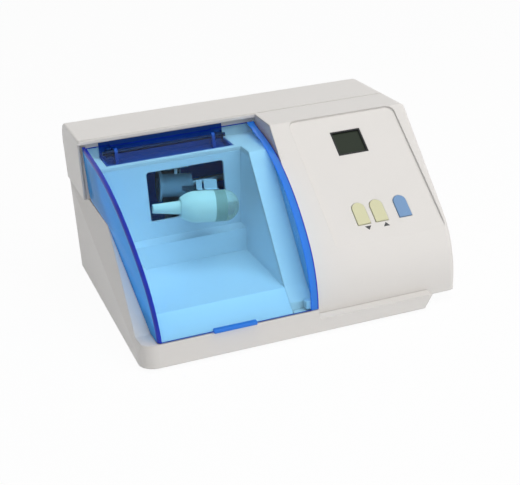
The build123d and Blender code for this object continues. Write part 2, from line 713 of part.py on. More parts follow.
def upper_housing_finished():
    body = upper_housing() + (panel_backing() - bay_block())
    chamber = block((-BIG / 2, BIG / 2), (-BIG / 2, BACK_Y), (-BIG / 2, BIG / 2)) - chamber_right(0)
    chamber = chamber & block((-BIG / 2, LID_RIGHT), (-BIG / 2, BACK_Y), (-BIG / 2, BIG / 2))
    body = body - chamber
    swing = slab(lid_swing(), -BIG / 2, SLOT_LEFT)
    body = body - (swing - half_space((LID_LEFT + LID_WALL + LID_GAP, 0, LID_BOTTOM),
                                      (1, LID_LEAN, LID_LEAN)))
    below = block((-BIG / 2, LID_LEFT + LID_WALL), (-BIG / 2, BIG / 2), (-BIG / 2, RIM_REAR[1]))
    body = body - (below - half_space((LID_LEFT + LID_WALL + LID_GAP, 0, LID_BOTTOM),
                                      (1, LID_LEAN, LID_LEAN)))
    body = body + bay_side_wall()
    body = body + hinge_well(WALL, shelf_z()) - hinge_well(0, shelf_z() + 1)
    body = body - groove() - recess() - display_opening()
    for boss in housing_bosses():
        body = body + boss
    for x, y in boss_places():
        body = body - rod(SCREW_RADIUS + SCREW_FIT, (x, y, 0), (x, y, HOUSING_BOTTOM + BOSS_HEIGHT - WALL))
    for hole in key_openings() + rear_openings():
        body = body - hole
    return body


def hinge_well(wall, top):
    """The well that the hinge lies in, or with a wall its outer form."""
    low = shelf_z() - WELL_DEPTH - wall
    depth = (BACK_Y + 2 * WALL - wall, RISER_Y + wall)
    return block((SLOT_LEFT - wall, SLOT_RIGHT + wall), depth, (low, top))


def housing_bosses():
    """Screw bosses inside the housing, and those that hold the control board."""
    bosses = []
    for x, y in boss_places():
        bosses.append(rod(BOSS_RADIUS, (x, y, HOUSING_BOTTOM), (x, y, HOUSING_BOTTOM + BOSS_HEIGHT)))
        if y > BASE_DEPTH / 2:
            rib = block((x - SCREW_RADIUS, x + SCREW_RADIUS), (y + BOSS_RADIUS - 1, BASE_DEPTH - WALL / 2),
                        (HOUSING_BOTTOM, HOUSING_BOTTOM + BOSS_HEIGHT))
            bosses.append(rib)
        else:
            rib = block((x - SCREW_RADIUS, x + SCREW_RADIUS), (HOUSING_FRONT + WALL / 2, y - BOSS_RADIUS + 1),
                        (HOUSING_BOTTOM, HOUSING_BOTTOM + BOSS_HEIGHT))
            bosses.append(rib)
    for x, up in board_corners():
        boss = Cylinder(BOARD_BOSS_RADIUS, BOARD_DEPTH - RECESS_DEPTH - WALL / 2,
                        align=(Align.CENTER, Align.CENTER, Align.MIN))
        hole = Cylinder(SCREW_RADIUS + SCREW_FIT, BOARD_DEPTH - RECESS_DEPTH - WALL,
                        align=(Align.CENTER, Align.CENTER, Align.MIN))
        bosses.append(on_slope(x, up, BOARD_DEPTH) * (boss - hole))
    return bosses


def board_corners():
    xs = (BOARD_LEFT + BOARD_BOSS_EDGE, BOARD_RIGHT - BOARD_BOSS_EDGE)
    ups = (BOARD_LOW + BOARD_BOSS_EDGE, BOARD_HIGH - BOARD_BOSS_EDGE)
    return [(x, up) for x in xs for up in ups]


# ---------------------------------------------------------------- mixing chamber
def chamber_side():
    """Side view of the chamber's space."""
    return polygon((lip_start()[0], BIG), lip_start(), (CHAMBER_FRONT, CHAMBER_FLOOR),
                   (STEP_Y, CHAMBER_FLOOR), (STEP_Y, STEP_Z), (BACK_Y, STEP_Z), (BACK_Y, BIG))


def over_ledge():
    """Side view of what lies over the ledge between the chamber and the lid's left wall."""
    return chamber_side() - below_rim(LID_GAP, BIG)


def chamber_ledge():
    """The ledge, with a skirt that hangs from it behind the lid's left wall."""
    sheet = offset(over_ledge(), WALL, kind=Kind.INTERSECTION) - over_ledge()
    ledge = slab(sheet, -BIG / 2, BIG / 2) & chamber_left(0)
    below = polygon((lip_start()[0], 0), (lip_start()[0], CHAMBER_FLOOR),
                    (STEP_Y, CHAMBER_FLOOR), (STEP_Y, 0))
    below = below - over_ledge() - below_rim(LID_GAP + SKIRT_LAP, BIG)
    skirt = slab(below, -BIG / 2, BIG / 2) & beyond_left(LID_WALL + LID_GAP + WALL)
    return ledge + skirt


def mixing_chamber():
    space = slab(chamber_side(), -BIG / 2, BIG / 2) - chamber_left(0) - chamber_right(0)
    shell_side = offset(chamber_side(), WALL, kind=Kind.INTERSECTION)
    shell = slab(shell_side, -BIG / 2, BIG / 2) - chamber_left(-WALL) - chamber_right(-WALL)
    tub = shell - space
    tub = tub - (slab(over_ledge(), -BIG / 2, BIG / 2) & chamber_left(0))
    tub = tub + chamber_ledge()
    roof = slab(lid_under(LID_WALL + LID_GAP, BACK_Y + WALL, -BIG), -BIG / 2, BIG / 2)
    tub = tub & roof
    tub = tub & block((-BIG / 2, BIG / 2), (lip_start()[0], BIG), (-BIG, shelf_z() - WALL))
    tub = tub - beyond_left(LID_WALL + LID_GAP)
    border = slab(offset(bay_face(0), -WALL - FIT, kind=Kind.INTERSECTION), -BIG / 2, BIG / 2)
    beside = half_space((CHAMBER_RIGHT, CHAMBER_FRONT, CHAMBER_FLOOR), (1, 0, -CHAMBER_RIGHT_LEAN))
    tub = tub - (beside - border)
    window = Rectangle(WINDOW_RIGHT - WINDOW_LEFT, window_top() - window_bottom())
    window = fillet(window.vertices(), WINDOW_CORNER)
    middle = ((WINDOW_LEFT + WINDOW_RIGHT) / 2, BACK_Y, (window_bottom() + window_top()) / 2)
    upright_wall = Plane(origin=middle, x_dir=(1, 0, 0), z_dir=(0, -1, 0))
    return tub - upright_wall * extrude(window, amount=2 * WALL, both=True)


# ---------------------------------------------------------------- lid
def lid_wall_face():
    """Side view of the lid's left wall."""
    roof = lid_under(0, LID_REAR, -BIG)
    behind = LID_REAR + LID_WALL_BEHIND
    lobe = polygon((LID_REAR - 1, lid_roof(LID_REAR - 1)), (behind, lid_roof(behind)), RIM_REAR,
                   (RIM_REAR[0], LID_BOTTOM), (LID_REAR - 1, LID_BOTTOM))
    wall = (roof + lobe) - below_rim(0, BIG)
    corner = wall.vertices().sort_by_distance((*RIM_REAR, 0))[0]
    return fillet(corner, RIM_ROUND)


def lid_cheek_face():
    """Side view of the lid's right wall, which stands on the sloping front."""
    gap = offset(bay_face(0), LID_GAP, kind=Kind.INTERSECTION)
    rear = HINGE_Y + LID_CHEEK_BEHIND
    front = polygon((LID_FRONT, LID_BOTTOM), (LID_FRONT, BIG), (rear, BIG), (rear, LID_BOTTOM))
    return (lid_under(0, LID_REAR, LID_BOTTOM) & front) - gap


def between_faces(face, outer, inner):
    """A slab of the face kept between two leaning half spaces."""
    return slab(face, -BIG / 2, BIG / 2) - outer - inner


def lid():
    sheet = lid_under(0, LID_REAR, LID_BOTTOM) - lid_under(LID_WALL, LID_REAR + 1, LID_BOTTOM - 1)
    roof = between_faces(sheet, beyond_left(0), beyond_right(0))
    inner_left = half_space((LID_LEFT + LID_WALL, 0, LID_BOTTOM), (1, LID_LEAN, LID_LEAN))
    left = between_faces(lid_wall_face(), beyond_left(0), inner_left)
    inner_right = half_space((LID_RIGHT - LID_WALL, 0, LID_BOTTOM), (-1, LID_LEAN, LID_LEAN))
    right = between_faces(lid_cheek_face(), beyond_right(0), inner_right)
    shell = roof + left + right
    shell = shell - block(notch_ends(0), (NOTCH_Y, BIG), (-BIG, BIG))
    tab = block((TAB_CENTRE - TAB_WIDTH / 2, TAB_CENTRE + TAB_WIDTH / 2),
                (LID_FRONT - TAB_REACH, LID_FRONT + LID_WALL / 2),
                (LID_BOTTOM - LID_GAP / 2, LID_BOTTOM + TAB_DROP))
    shell = shell + tab
    for left_x in tongue_lefts():
        shell = shell + on_hinge(HINGE_BOSS, left_x, left_x + HINGE_LUG)
        web = block((left_x, left_x + HINGE_LUG), (HINGE_Y - HINGE_BOSS, LID_REAR), (hinge_z(), BIG / 2))
        shell = shell + (web & slab(lid_under(LID_WALL / 2, LID_REAR, LID_BOTTOM), 0, BIG / 2))
    return shell - on_hinge(HINGE_PIN + HINGE_FIT, -BIG / 2, BIG / 2)


def on_hinge(radius, left, right):
    """A round bar on the lid's hinge axis."""
    return rod(radius, (left, HINGE_Y, hinge_z()), (right, HINGE_Y, hinge_z()))


def tongue_lefts():
    centre = (SLOT_LEFT + SLOT_RIGHT) / 2
    return (centre - HINGE_SPAN / 2, centre + HINGE_SPAN / 2 - HINGE_LUG)


def notch_ends(inset):
    """Left and right end of the notch between the tongues, moved in by inset."""
    lefts = tongue_lefts()
    return (lefts[0] + HINGE_LUG - NOTCH_LAP + inset, lefts[1] + NOTCH_LAP - inset)


# ---------------------------------------------------------------- hinge and interlock
def hinge_pin():
    lefts = tongue_lefts()
    return on_hinge(HINGE_PIN, lefts[0] - PIN_OVER, lefts[1] + HINGE_LUG + PIN_OVER)


def hinge_ear(left):
    """An upright ear round the pin."""
    depth = (HINGE_Y - BRACKET_ROUND, HINGE_Y + BRACKET_ROUND)
    ear = block((left, left + BRACKET_EAR), depth, (shelf_z() - WELL_DEPTH, hinge_z()))
    ear = ear + on_hinge(BRACKET_ROUND, left, left + BRACKET_EAR)
    return ear - on_hinge(HINGE_PIN + SEAT_FIT, left - 1, left + BRACKET_EAR + 1)


def hinge_brackets():
    """Two ears on one folded tray that lines the hinge well."""
    floor = shelf_z() - WELL_DEPTH
    ends = (SLOT_LEFT + FIT, SLOT_RIGHT - FIT)
    depth = (BACK_Y + 2 * WALL + FIT, RISER_Y - FIT)
    tray = block(ends, depth, (floor, shelf_z()))
    room = block((ends[0] + BRACKET_SHEET, ends[1] - BRACKET_SHEET),
                 (depth[0] + BRACKET_SHEET, depth[1] - BRACKET_SHEET), (floor + BRACKET_SHEET, BIG))
    upstand = block(notch_ends(BRACKET_ENDS), (depth[1] - BRACKET_SHEET, depth[1]),
                    (floor, HOUSING_TOP - WALL - BRACKET_TOP))
    lefts = tongue_lefts()
    inner = hinge_ear(lefts[0] + HINGE_LUG + BRACKET_GAP)
    outer = hinge_ear(lefts[1] - BRACKET_GAP - BRACKET_EAR)
    return tray - room + upstand + inner + outer


def lid_magnet():
    face = LID_RIGHT + LID_LEAN * (MAGNET_FRONT + MAGNET_SIZE[2]) - LID_WALL
    low = LID_BOTTOM + LID_GAP
    body = block((face - MAGNET_SIZE[0], face + 1), (MAGNET_FRONT, MAGNET_FRONT + MAGNET_SIZE[1]),
                 (low, low + MAGNET_SIZE[2]))
    return body - beyond_right(LID_WALL)


def reed_switch():
    top = LID_BOTTOM - LID_GAP - WALL
    middle = (CHAMBER_RIGHT + LID_RIGHT) / 2
    place = (MAGNET_FRONT + MAGNET_SIZE[1] / 2, top - REED_RADIUS)
    return rod(REED_RADIUS, (middle - REED_LENGTH / 2, *place), (middle + REED_LENGTH / 2, *place))


# ---------------------------------------------------------------- control side
def upright(thick):
    return (Align.CENTER, Align.CENTER, Align.MIN if thick else Align.MAX)


def display_frame():
    fit = SCREW_FIT
    outer = Rectangle(DISPLAY_WIDTH - 2 * fit, DISPLAY_HEIGHT - 2 * fit)
    inner = Rectangle(DISPLAY_WIDTH - 2 * DISPLAY_FRAME, DISPLAY_HEIGHT - 2 * DISPLAY_FRAME)
    ring = extrude(outer - inner, amount=WALL)
    return on_slope(DISPLAY_X, DISPLAY_UP, RECESS_DEPTH + WALL) * ring


def display_window():
    fit = SCREW_FIT
    pane = Box(DISPLAY_WIDTH - 2 * DISPLAY_FRAME - 2 * fit, DISPLAY_HEIGHT - 2 * DISPLAY_FRAME - 2 * fit,
               WALL - DISPLAY_SINK, align=upright(True))
    return on_slope(DISPLAY_X, DISPLAY_UP, RECESS_DEPTH + WALL) * pane


def display_module():
    tall = BOARD_DEPTH - RECESS_DEPTH - WALL
    size = (DISPLAY_WIDTH + 2 * MODULE_MARGIN, DISPLAY_HEIGHT + 2 * MODULE_MARGIN)
    body = Box(*size, tall, align=upright(True))
    return on_slope(DISPLAY_X, DISPLAY_UP, BOARD_DEPTH) * body


def key(x):
    """A key, its retaining lip and its stem."""
    under = RECESS_DEPTH + WALL + KEY_FIT
    cap = extrude(key_outline(KEY_WIDTH, KEY_LENGTH), amount=under - RECESS_DEPTH + KEY_PROUD)
    rim = cap.faces().sort_by(Axis.Z)[-1].edges()
    cap = fillet(rim, KEY_PROUD / 2)
    flange = key_outline(KEY_WIDTH + 2 * KEY_FLANGE, KEY_LENGTH + 2 * KEY_FLANGE)
    lip = extrude(flange, amount=-KEY_FLANGE_THICK)
    tip = BOARD_DEPTH - SWITCH_HEIGHT - SWITCH_TIP - KEY_TRAVEL - SWITCH_GAP
    stem = Cylinder(KEY_STEM_RADIUS, tip - under, align=upright(False))
    return on_slope(x, KEY_UP, under) * (cap + lip + stem)


def control_board():
    board = Box(BOARD_RIGHT - BOARD_LEFT, BOARD_HIGH - BOARD_LOW, BOARD_THICK, align=upright(False))
    board = on_slope((BOARD_LEFT + BOARD_RIGHT) / 2, (BOARD_LOW + BOARD_HIGH) / 2, BOARD_DEPTH) * board
    hole = Cylinder(SCREW_RADIUS + SCREW_FIT, 4 * BOARD_THICK)
    for x, up in board_corners():
        board = board - on_slope(x, up, BOARD_DEPTH) * hole
    return board


def tact_switches():
    body = Box(SWITCH_SIZE, SWITCH_SIZE, SWITCH_HEIGHT, align=upright(True))
    tip = Pos(0, 0, SWITCH_HEIGHT) * Cylinder(SWITCH_TIP_RADIUS, SWITCH_TIP, align=upright(True))
    return [on_slope(x, KEY_UP, BOARD_DEPTH) * (body + tip) for x in KEY_XS]


def board_screws():
    head = Cylinder(SCREW_HEAD, SCREW_HEAD_THICK, align=upright(False))
    shank = Cylinder(SCREW_RADIUS, BOARD_THICK + BOARD_DEPTH - RECESS_DEPTH - 2 * WALL, align=upright(True))
    return [on_slope(x, up, BOARD_DEPTH + BOARD_THICK) * (head + shank) for x, up in board_corners()]


def ribbon():
    side = polygon((RIBBON_Y, POWER_Z + POWER_THICK), (RIBBON_Y, HOUSING_TOP),
                   (RIBBON_Y + RIBBON_THICK, HOUSING_TOP), (RIBBON_Y + RIBBON_THICK, POWER_Z + POWER_THICK))
    strip = slab(side, RIBBON_LEFT, RIBBON_LEFT + RIBBON_WIDTH)
    under = on_slope(RIBBON_LEFT, 0, BOARD_DEPTH + BOARD_THICK)
    return strip - half_space(under.origin, under.z_dir)


# ---------------------------------------------------------------- shaker, still
def along(radius, left, right):
    """A round bar on the motor's axis."""
    return rod(radius, (left, AXIS_Y, axis_z()), (right, AXIS_Y, axis_z()))


def motor_right():
    return MOTOR_LEFT + MOTOR_LENGTH


def motor_can():
    inner = MOTOR_RADIUS - MOTOR_WALL
    ends = (MOTOR_LEFT + SHIELD_THICK, motor_right() - SHIELD_THICK)
    return along(MOTOR_RADIUS, *ends) - along(inner, *ends)


def end_shield(face, way):
    """A shield whose outer face is at face; way is +1 towards the motor's right."""
    bearing = BEARING_THICK + SHIELD_THICK / 2
    shield = along_way(MOTOR_RADIUS, face, SHIELD_THICK, way) + along_way(SHIELD_BOSS, face, bearing, way)
    seat = face + way * (bearing - BEARING_THICK)
    pocket = along_way(BEARING_RADIUS + SEAT_FIT, seat, BEARING_THICK + 1, way)
    return shield - pocket - along_way(SHAFT_RADIUS + 1, face, bearing, way)


def along_way(radius, start, length, way):
    return along(radius, min(start, start + way * length), max(start, start + way * length))


def end_shields():
    return [end_shield(MOTOR_LEFT, 1), end_shield(motor_right(), -1)]


def bearings():
    inset = SHIELD_THICK / 2
    faces = ((MOTOR_LEFT + inset, 1), (motor_right() - inset, -1))
    ring = [along_way(BEARING_RADIUS, face, BEARING_THICK, way) for face, way in faces]
    bore = along(SHAFT_RADIUS + SHAFT_FIT, MOTOR_LEFT, motor_right())
    return [each - bore for each in ring]


def cradle():
    low = AXIS_Y - CRADLE_WIDTH / 2
    plate = block((CRADLE_LEFT, CRADLE_RIGHT), (low, low + CRADLE_WIDTH), (CRADLE_Z, CRADLE_Z + CRADLE_THICK))
    for left in (MOTOR_LEFT + CRADLE_RIB_INSET, motor_right() - CRADLE_RIB_INSET - CRADLE_RIB):
        rib = block((left, left + CRADLE_RIB), (AXIS_Y - CRADLE_RIB_WIDTH / 2, AXIS_Y + CRADLE_RIB_WIDTH / 2),
                    (CRADLE_Z, axis_z() - CRADLE_RIB_DROP))
        plate = plate + rib
    plate = plate - along(MOTOR_RADIUS, MOTOR_LEFT, motor_right())
    top = CRADLE_Z + CRADLE_THICK
    for x, y in mount_places():
        plate = plate - rod(SCREW_RADIUS + SCREW_FIT, (x, y, CRADLE_Z - 1), (x, y, top + 1))
    return plate


def mount_places():
    half = CRADLE_WIDTH / 2 - CRADLE_EDGE
    xs = (CRADLE_LEFT + CRADLE_EDGE, CRADLE_RIGHT - CRADLE_EDGE)
    return [(x, y) for x in xs for y in (AXIS_Y - half, AXIS_Y + half)]


def rubber_mounts():
    mounts = []
    for x, y in mount_places():
        bore = rod(SCREW_RADIUS + SCREW_FIT, (x, y, CRADLE_Z - MOUNT_SCREW_DEPTH), (x, y, CRADLE_Z + 1))
        mounts.append(rod(MOUNT_RADIUS, (x, y, FLOOR), (x, y, CRADLE_Z)) - bore)
    return mounts


def upright_screw(x, y, seat, way, length):
    """A screw whose head bears on the height seat; way is +1 when the shank points up."""
    ends = sorted((seat, seat - way * SCREW_HEAD_THICK))
    tips = sorted((seat - way * SCREW_HEAD_THICK / 2, seat + way * length))
    head = rod(SCREW_HEAD, (x, y, ends[0]), (x, y, ends[1]))
    return head + rod(SCREW_RADIUS, (x, y, tips[0]), (x, y, tips[1]))


def cradle_screws():
    length = CRADLE_THICK + MOUNT_SCREW_DEPTH - 1
    return [upright_screw(x, y, CRADLE_Z + CRADLE_THICK, -1, length) for x, y in mount_places()]


def restraint_leaf():
    """Leaf that rises from the cradle and holds the grommet over the hub."""
    foot = CRADLE_Z + CRADLE_THICK
    side = polygon((LEAF_REAR, foot + LEAF_THICK), (LEAF_REAR, leaf_z()), (LEAF_FRONT, leaf_z()),
                   (LEAF_FRONT, leaf_z() + LEAF_THICK), (LEAF_REAR + LEAF_THICK, leaf_z() + LEAF_THICK),
                   (LEAF_REAR + LEAF_THICK, foot), (LEAF_REAR - LEAF_WIDTH / 2, foot),
                   (LEAF_REAR - LEAF_WIDTH / 2, foot + LEAF_THICK))
    x = grommet_x()
    leaf = slab(side, x - LEAF_WIDTH / 2, x + LEAF_WIDTH / 2)
    return leaf - rod(GROMMET_RADIUS - 1, (x, AXIS_Y, leaf_z() - 1), (x, AXIS_Y, leaf_z() + LEAF_THICK + 1))


def grommet_x():
    height = leaf_z() + LEAF_THICK / 2 - axis_z()
    return HUB_X + height * math.tan(math.radians(REST_TILT))


def grommet():
    x = grommet_x()
    middle = leaf_z() + LEAF_THICK / 2
    half = GROMMET_THICK / 2
    body = rod(GROMMET_RADIUS, (x, AXIS_Y, middle - half), (x, AXIS_Y, middle + half))
    slot = rod(GROMMET_RADIUS + 1, (x, AXIS_Y, leaf_z()), (x, AXIS_Y, leaf_z() + LEAF_THICK))
    neck = GROMMET_RADIUS - 1 - SEAT_FIT
    slot = slot - rod(neck, (x, AXIS_Y, leaf_z() - 1), (x, AXIS_Y, leaf_z() + LEAF_THICK + 1))
    return body - slot - rod(GROMMET_BORE, (x, AXIS_Y, 0), (x, AXIS_Y, HOUSING_TOP))


# ---------------------------------------------------------------- shaker, turning
def drive_shaft():
    return along(SHAFT_RADIUS, HUB_X - JOURNAL_LENGTH / 2, motor_right() + SHAFT_REACH)


def wobble_journal():
    half = JOURNAL_LENGTH / 2
    side = math.sqrt(JOURNAL_RADIUS ** 2 - half ** 2)
    face = make_face([
        Line((-half, SHAFT_RADIUS), (-half, side)),
        ThreePointArc((-half, side), (0, JOURNAL_RADIUS), (half, side)),
        Line((half, side), (half, SHAFT_RADIUS)),
        Line((half, SHAFT_RADIUS), (-half, SHAFT_RADIUS)),
    ])
    return Pos(HUB_X, AXIS_Y, axis_z()) * revolve(Plane.XY * face, Axis.X)


def armature():
    left = MOTOR_LEFT + SHIELD_THICK + ARMATURE_GAP
    right = motor_right() - SHIELD_THICK - ARMATURE_GAP
    return along(ARMATURE_RADIUS, left, right) - along(SHAFT_RADIUS, left - 1, right + 1)


def fan():
    left = motor_right() + FAN_GAP
    hub = along(FAN_HUB, left, left + FAN_THICK)
    blade = Box(FAN_THICK / math.cos(math.radians(FAN_PITCH)), FAN_RADIUS - FAN_HUB / 2, FAN_BLADE,
                align=(Align.CENTER, Align.MIN, Align.CENTER))
    blade = Pos(0, FAN_HUB / 2, 0) * Rot(0, FAN_PITCH, 0) * blade
    for step in range(FAN_BLADES):
        place = Pos(left + FAN_THICK / 2, AXIS_Y, axis_z()) * Rot(360 * step / FAN_BLADES, 0, 0)
        hub = hub + place * blade
    ring = along(FAN_RADIUS - FAN_BLADE, left, left + FAN_THICK)
    return (hub & ring) - along(SHAFT_RADIUS, left - 1, left + FAN_THICK + 1)


# ---------------------------------------------------------------- shaker, swinging
def in_arm(shape):
    """Places what is drawn round the hub's centre, leaning and turned as at rest."""
    return Pos(HUB_X, AXIS_Y, axis_z()) * Rot(0, REST_TILT, 0) * Rot(0, 0, -REST_YAW) * shape


def hub_rod(radius, left, right):
    return rod(radius, (left, 0, 0), (right, 0, 0))


def wobble_hub():
    half = HUB_LENGTH / 2
    hub = hub_rod(HUB_RADIUS, -half, half) + hub_rod(FLANGE_RADIUS, -half - FLANGE_THICK, -half)
    hub = hub - hub_rod(HUB_BORE, -half - FLANGE_THICK - 1, half + 1)
    hub = hub - hub_rod(RACE_RADIUS + SEAT_FIT, -RACE_LENGTH / 2, half + 1)
    seat = rod(STUD_RADIUS + SEAT_FIT, (0, 0, HUB_RADIUS - STUD_SEAT), (0, 0, HUB_RADIUS + 1))
    return in_arm(hub - seat)


def journal_race():
    half = RACE_LENGTH / 2
    ring = hub_rod(RACE_RADIUS, -half, half) - Sphere(JOURNAL_RADIUS + JOURNAL_FIT)
    return in_arm(ring)


def stud():
    bottom = HUB_RADIUS - STUD_SEAT
    return in_arm(rod(STUD_RADIUS, (0, 0, bottom), (0, 0, STUD_TOP)))


def shaker_arm():
    """Arm from the hub through the window to a saddle behind the clip."""
    back = CAPSULE_FORWARD - clip_outer()
    root = HUB_LENGTH / 2
    plan = polygon((root - ARM_ROOT, 0), (root, 0), (CLIP_X + ARM_WIDTH / 2, -back + SADDLE_THICK / 2),
                   (CLIP_X - ARM_WIDTH / 2, -back + SADDLE_THICK / 2))
    reach = Pos(0, 0, -ARM_THICK / 2) * extrude(plan, amount=ARM_THICK)
    saddle = block((CLIP_X - ARM_WIDTH / 2, CLIP_X + ARM_WIDTH / 2),
                   (-back - SADDLE_THICK, -back + SADDLE_THICK), saddle_heights())
    capsule = rod(clip_outer(), (CLIP_X - ARM_WIDTH, -CAPSULE_FORWARD, -CAPSULE_DROP),
                  (CLIP_X + ARM_WIDTH, -CAPSULE_FORWARD, -CAPSULE_DROP))
    arm = reach + saddle - capsule - hub_rod(HUB_RADIUS, -HUB_LENGTH, 2 * HUB_LENGTH)
    return in_arm(arm)


def saddle_heights():
    return (-CAPSULE_DROP - SADDLE_HEIGHT / 2, -CAPSULE_DROP + SADDLE_HEIGHT / 2)


def clip_outer():
    return CAPSULE_RADIUS + CLIP_GAP + CLIP_THICK


def capsule_clip():
    """A spring that embraces the capsule, with a leaf to lift it by."""
    centre = (-CAPSULE_FORWARD, -CAPSULE_DROP)
    inner = clip_outer() - CLIP_THICK
    half = CLIP_SWEEP / 2
    face = make_face([
        CenterArc(centre, clip_outer(), -half, CLIP_SWEEP),
        Line(polar(centre, clip_outer(), half), polar(centre, inner, half)),
        CenterArc(centre, inner, -half, CLIP_SWEEP),
        Line(polar(centre, clip_outer(), -half), polar(centre, inner, -half)),
    ])
    swing = math.degrees(CLIP_THICK / 2 / clip_outer())
    tip = clip_outer() + CLIP_LEAF
    spread = swing * clip_outer() / tip
    leaf = polygon(polar(centre, inner, CLIP_LEAF_AT - swing), polar(centre, inner, CLIP_LEAF_AT + swing),
                   polar(centre, tip, CLIP_LEAF_AT + spread), polar(centre, tip, CLIP_LEAF_AT - spread))
    leaf = leaf - (Pos(*centre) * Circle(inner + CLIP_THICK / 2))
    clip = slab(face + leaf, CLIP_X - CLIP_WIDTH / 2, CLIP_X + CLIP_WIDTH / 2)
    middle = CLIP_X + CLIP_SLOT_X
    foot, head = saddle_heights()
    for low, high in ((head, BIG / 2), (-BIG / 2, foot)):
        clip = clip - block((middle, middle + CLIP_SLOT), (-BIG / 2, BIG / 2), (low, high))
    return in_arm(clip)


def capsule_left():
    total = NOZZLE_LENGTH + CAPSULE_CONE + CAPSULE_BODY + RING_WIDTH + DOME_LENGTH
    return CAPSULE_X - total / 2


def turned(*points):
    """A solid turned round the capsule's axis from (along, radius) points."""
    return turned_face(make_face(Polyline(*points, close=True)))


def turned_face(face):
    """A solid turned round the capsule's axis from a face drawn along it."""
    return Pos(0, -CAPSULE_FORWARD, -CAPSULE_DROP) * revolve(Plane.XY * face, Axis.X)


def capsule_body():
    left = capsule_left()
    neck = left + NOZZLE_LENGTH
    wide = neck + CAPSULE_CONE
    end = wide + CAPSULE_BODY
    inner = CAPSULE_RADIUS - CAPSULE_WALL
    face = make_face([
        Line((left, NOZZLE_BORE), (left, NOZZLE_TIP)),
        Line((left, NOZZLE_TIP), (neck, CAPSULE_NECK)),
        Line((neck, CAPSULE_NECK), (neck, CAPSULE_SHOULDER)),
        TangentArc((wide, CAPSULE_RADIUS), (neck, CAPSULE_SHOULDER), tangent=(-1, 0)),
        Line((wide, CAPSULE_RADIUS), (end, CAPSULE_RADIUS)),
        Line((end, CAPSULE_RADIUS), (end, inner)),
        Line((end, inner), (wide, inner)),
        Line((wide, inner), (neck, NOZZLE_BORE)),
        Line((neck, NOZZLE_BORE), (left, NOZZLE_BORE)),
    ])
    return in_arm(turned_face(face))


def capsule_ring():
    left = capsule_left() + NOZZLE_LENGTH + CAPSULE_CONE + CAPSULE_BODY
    inner = CAPSULE_RADIUS - CAPSULE_WALL
    return in_arm(turned(
        (left - DOME_PLUG, inner - RING_STEP), (left - DOME_PLUG, inner - SEAT_FIT), (left, inner - SEAT_FIT),
        (left, CAPSULE_RADIUS), (left + RING_WIDTH, CAPSULE_RADIUS),
        (left + RING_WIDTH, inner - RING_STEP)))


def capsule_dome():
    left = capsule_left() + NOZZLE_LENGTH + CAPSULE_CONE + CAPSULE_BODY + RING_WIDTH
    plug = CAPSULE_RADIUS - CAPSULE_WALL - RING_STEP - SEAT_FIT
    face = make_face([
        Line((left - DOME_PLUG, 0), (left + DOME_LENGTH, 0)),
        EllipticalCenterArc((left, 0), DOME_LENGTH, CAPSULE_RADIUS, arc_size=90.0),
        Line((left, CAPSULE_RADIUS), (left, plug)),
        Line((left, plug), (left - DOME_PLUG, plug)),
        Line((left - DOME_PLUG, plug), (left - DOME_PLUG, 0)),
    ])
    return in_arm(turned_face(face))


# ---------------------------------------------------------------- power
def power_board():
    return block((POWER_LEFT, POWER_RIGHT), (POWER_FRONT, POWER_REAR), (POWER_Z, POWER_Z + POWER_THICK))


def board_parts():
    top = POWER_Z + POWER_THICK
    middle = (POWER_LEFT + POWER_RIGHT) / 2
    parts = []
    for side in (-1, 1):
        x = middle + side * (CAPACITOR_RADIUS + 1)
        y = POWER_FRONT + 3 * CAPACITOR_RADIUS
        parts.append(rod(CAPACITOR_RADIUS, (x, y, top), (x, y, top + CAPACITOR_HEIGHT)))
    relay_y = POWER_REAR - RELAY_SIZE[1] - TERMINAL_SIZE[1]
    relay = Pos(middle, relay_y, top) * Box(*RELAY_SIZE, align=upright(True))
    terminal = Pos(middle, POWER_REAR - TERMINAL_SIZE[1], top) * Box(*TERMINAL_SIZE, align=upright(True))
    return parts + [relay, terminal]


def transformer_core():
    core = block((CORE_LEFT, CORE_LEFT + CORE_WIDTH), (CORE_FRONT, CORE_FRONT + CORE_DEPTH),
                 (FLOOR, FLOOR + CORE_HEIGHT))
    for left in core_windows():
        core = core - block((left, left + window_width()), (0, BASE_DEPTH),
                            (FLOOR + CORE_LEG, FLOOR + CORE_HEIGHT - CORE_LEG))
    return core


def window_width():
    return (CORE_WIDTH - 4 * CORE_LEG) / 2


def core_windows():
    return (CORE_LEFT + CORE_LEG, CORE_LEFT + CORE_WIDTH - CORE_LEG - window_width())


def transformer_coil():
    gap = COIL_GAP
    left = core_windows()[0]
    right = core_windows()[1] + window_width()
    low = FLOOR + CORE_LEG
    high = FLOOR + CORE_HEIGHT - CORE_LEG
    depth = (CORE_FRONT - COIL_OVER, CORE_FRONT + CORE_DEPTH + COIL_OVER)
    coil = block((left + gap, right - gap), depth, (low, high))
    leg = block((left + window_width(), left + window_width() + 2 * CORE_LEG),
                (CORE_FRONT, CORE_FRONT + CORE_DEPTH), (low, high))
    return coil - leg


def rear_box(x, z, width, height, front, back):
    return block((x - width / 2, x + width / 2), (front, back), (z - height / 2, z + height / 2))


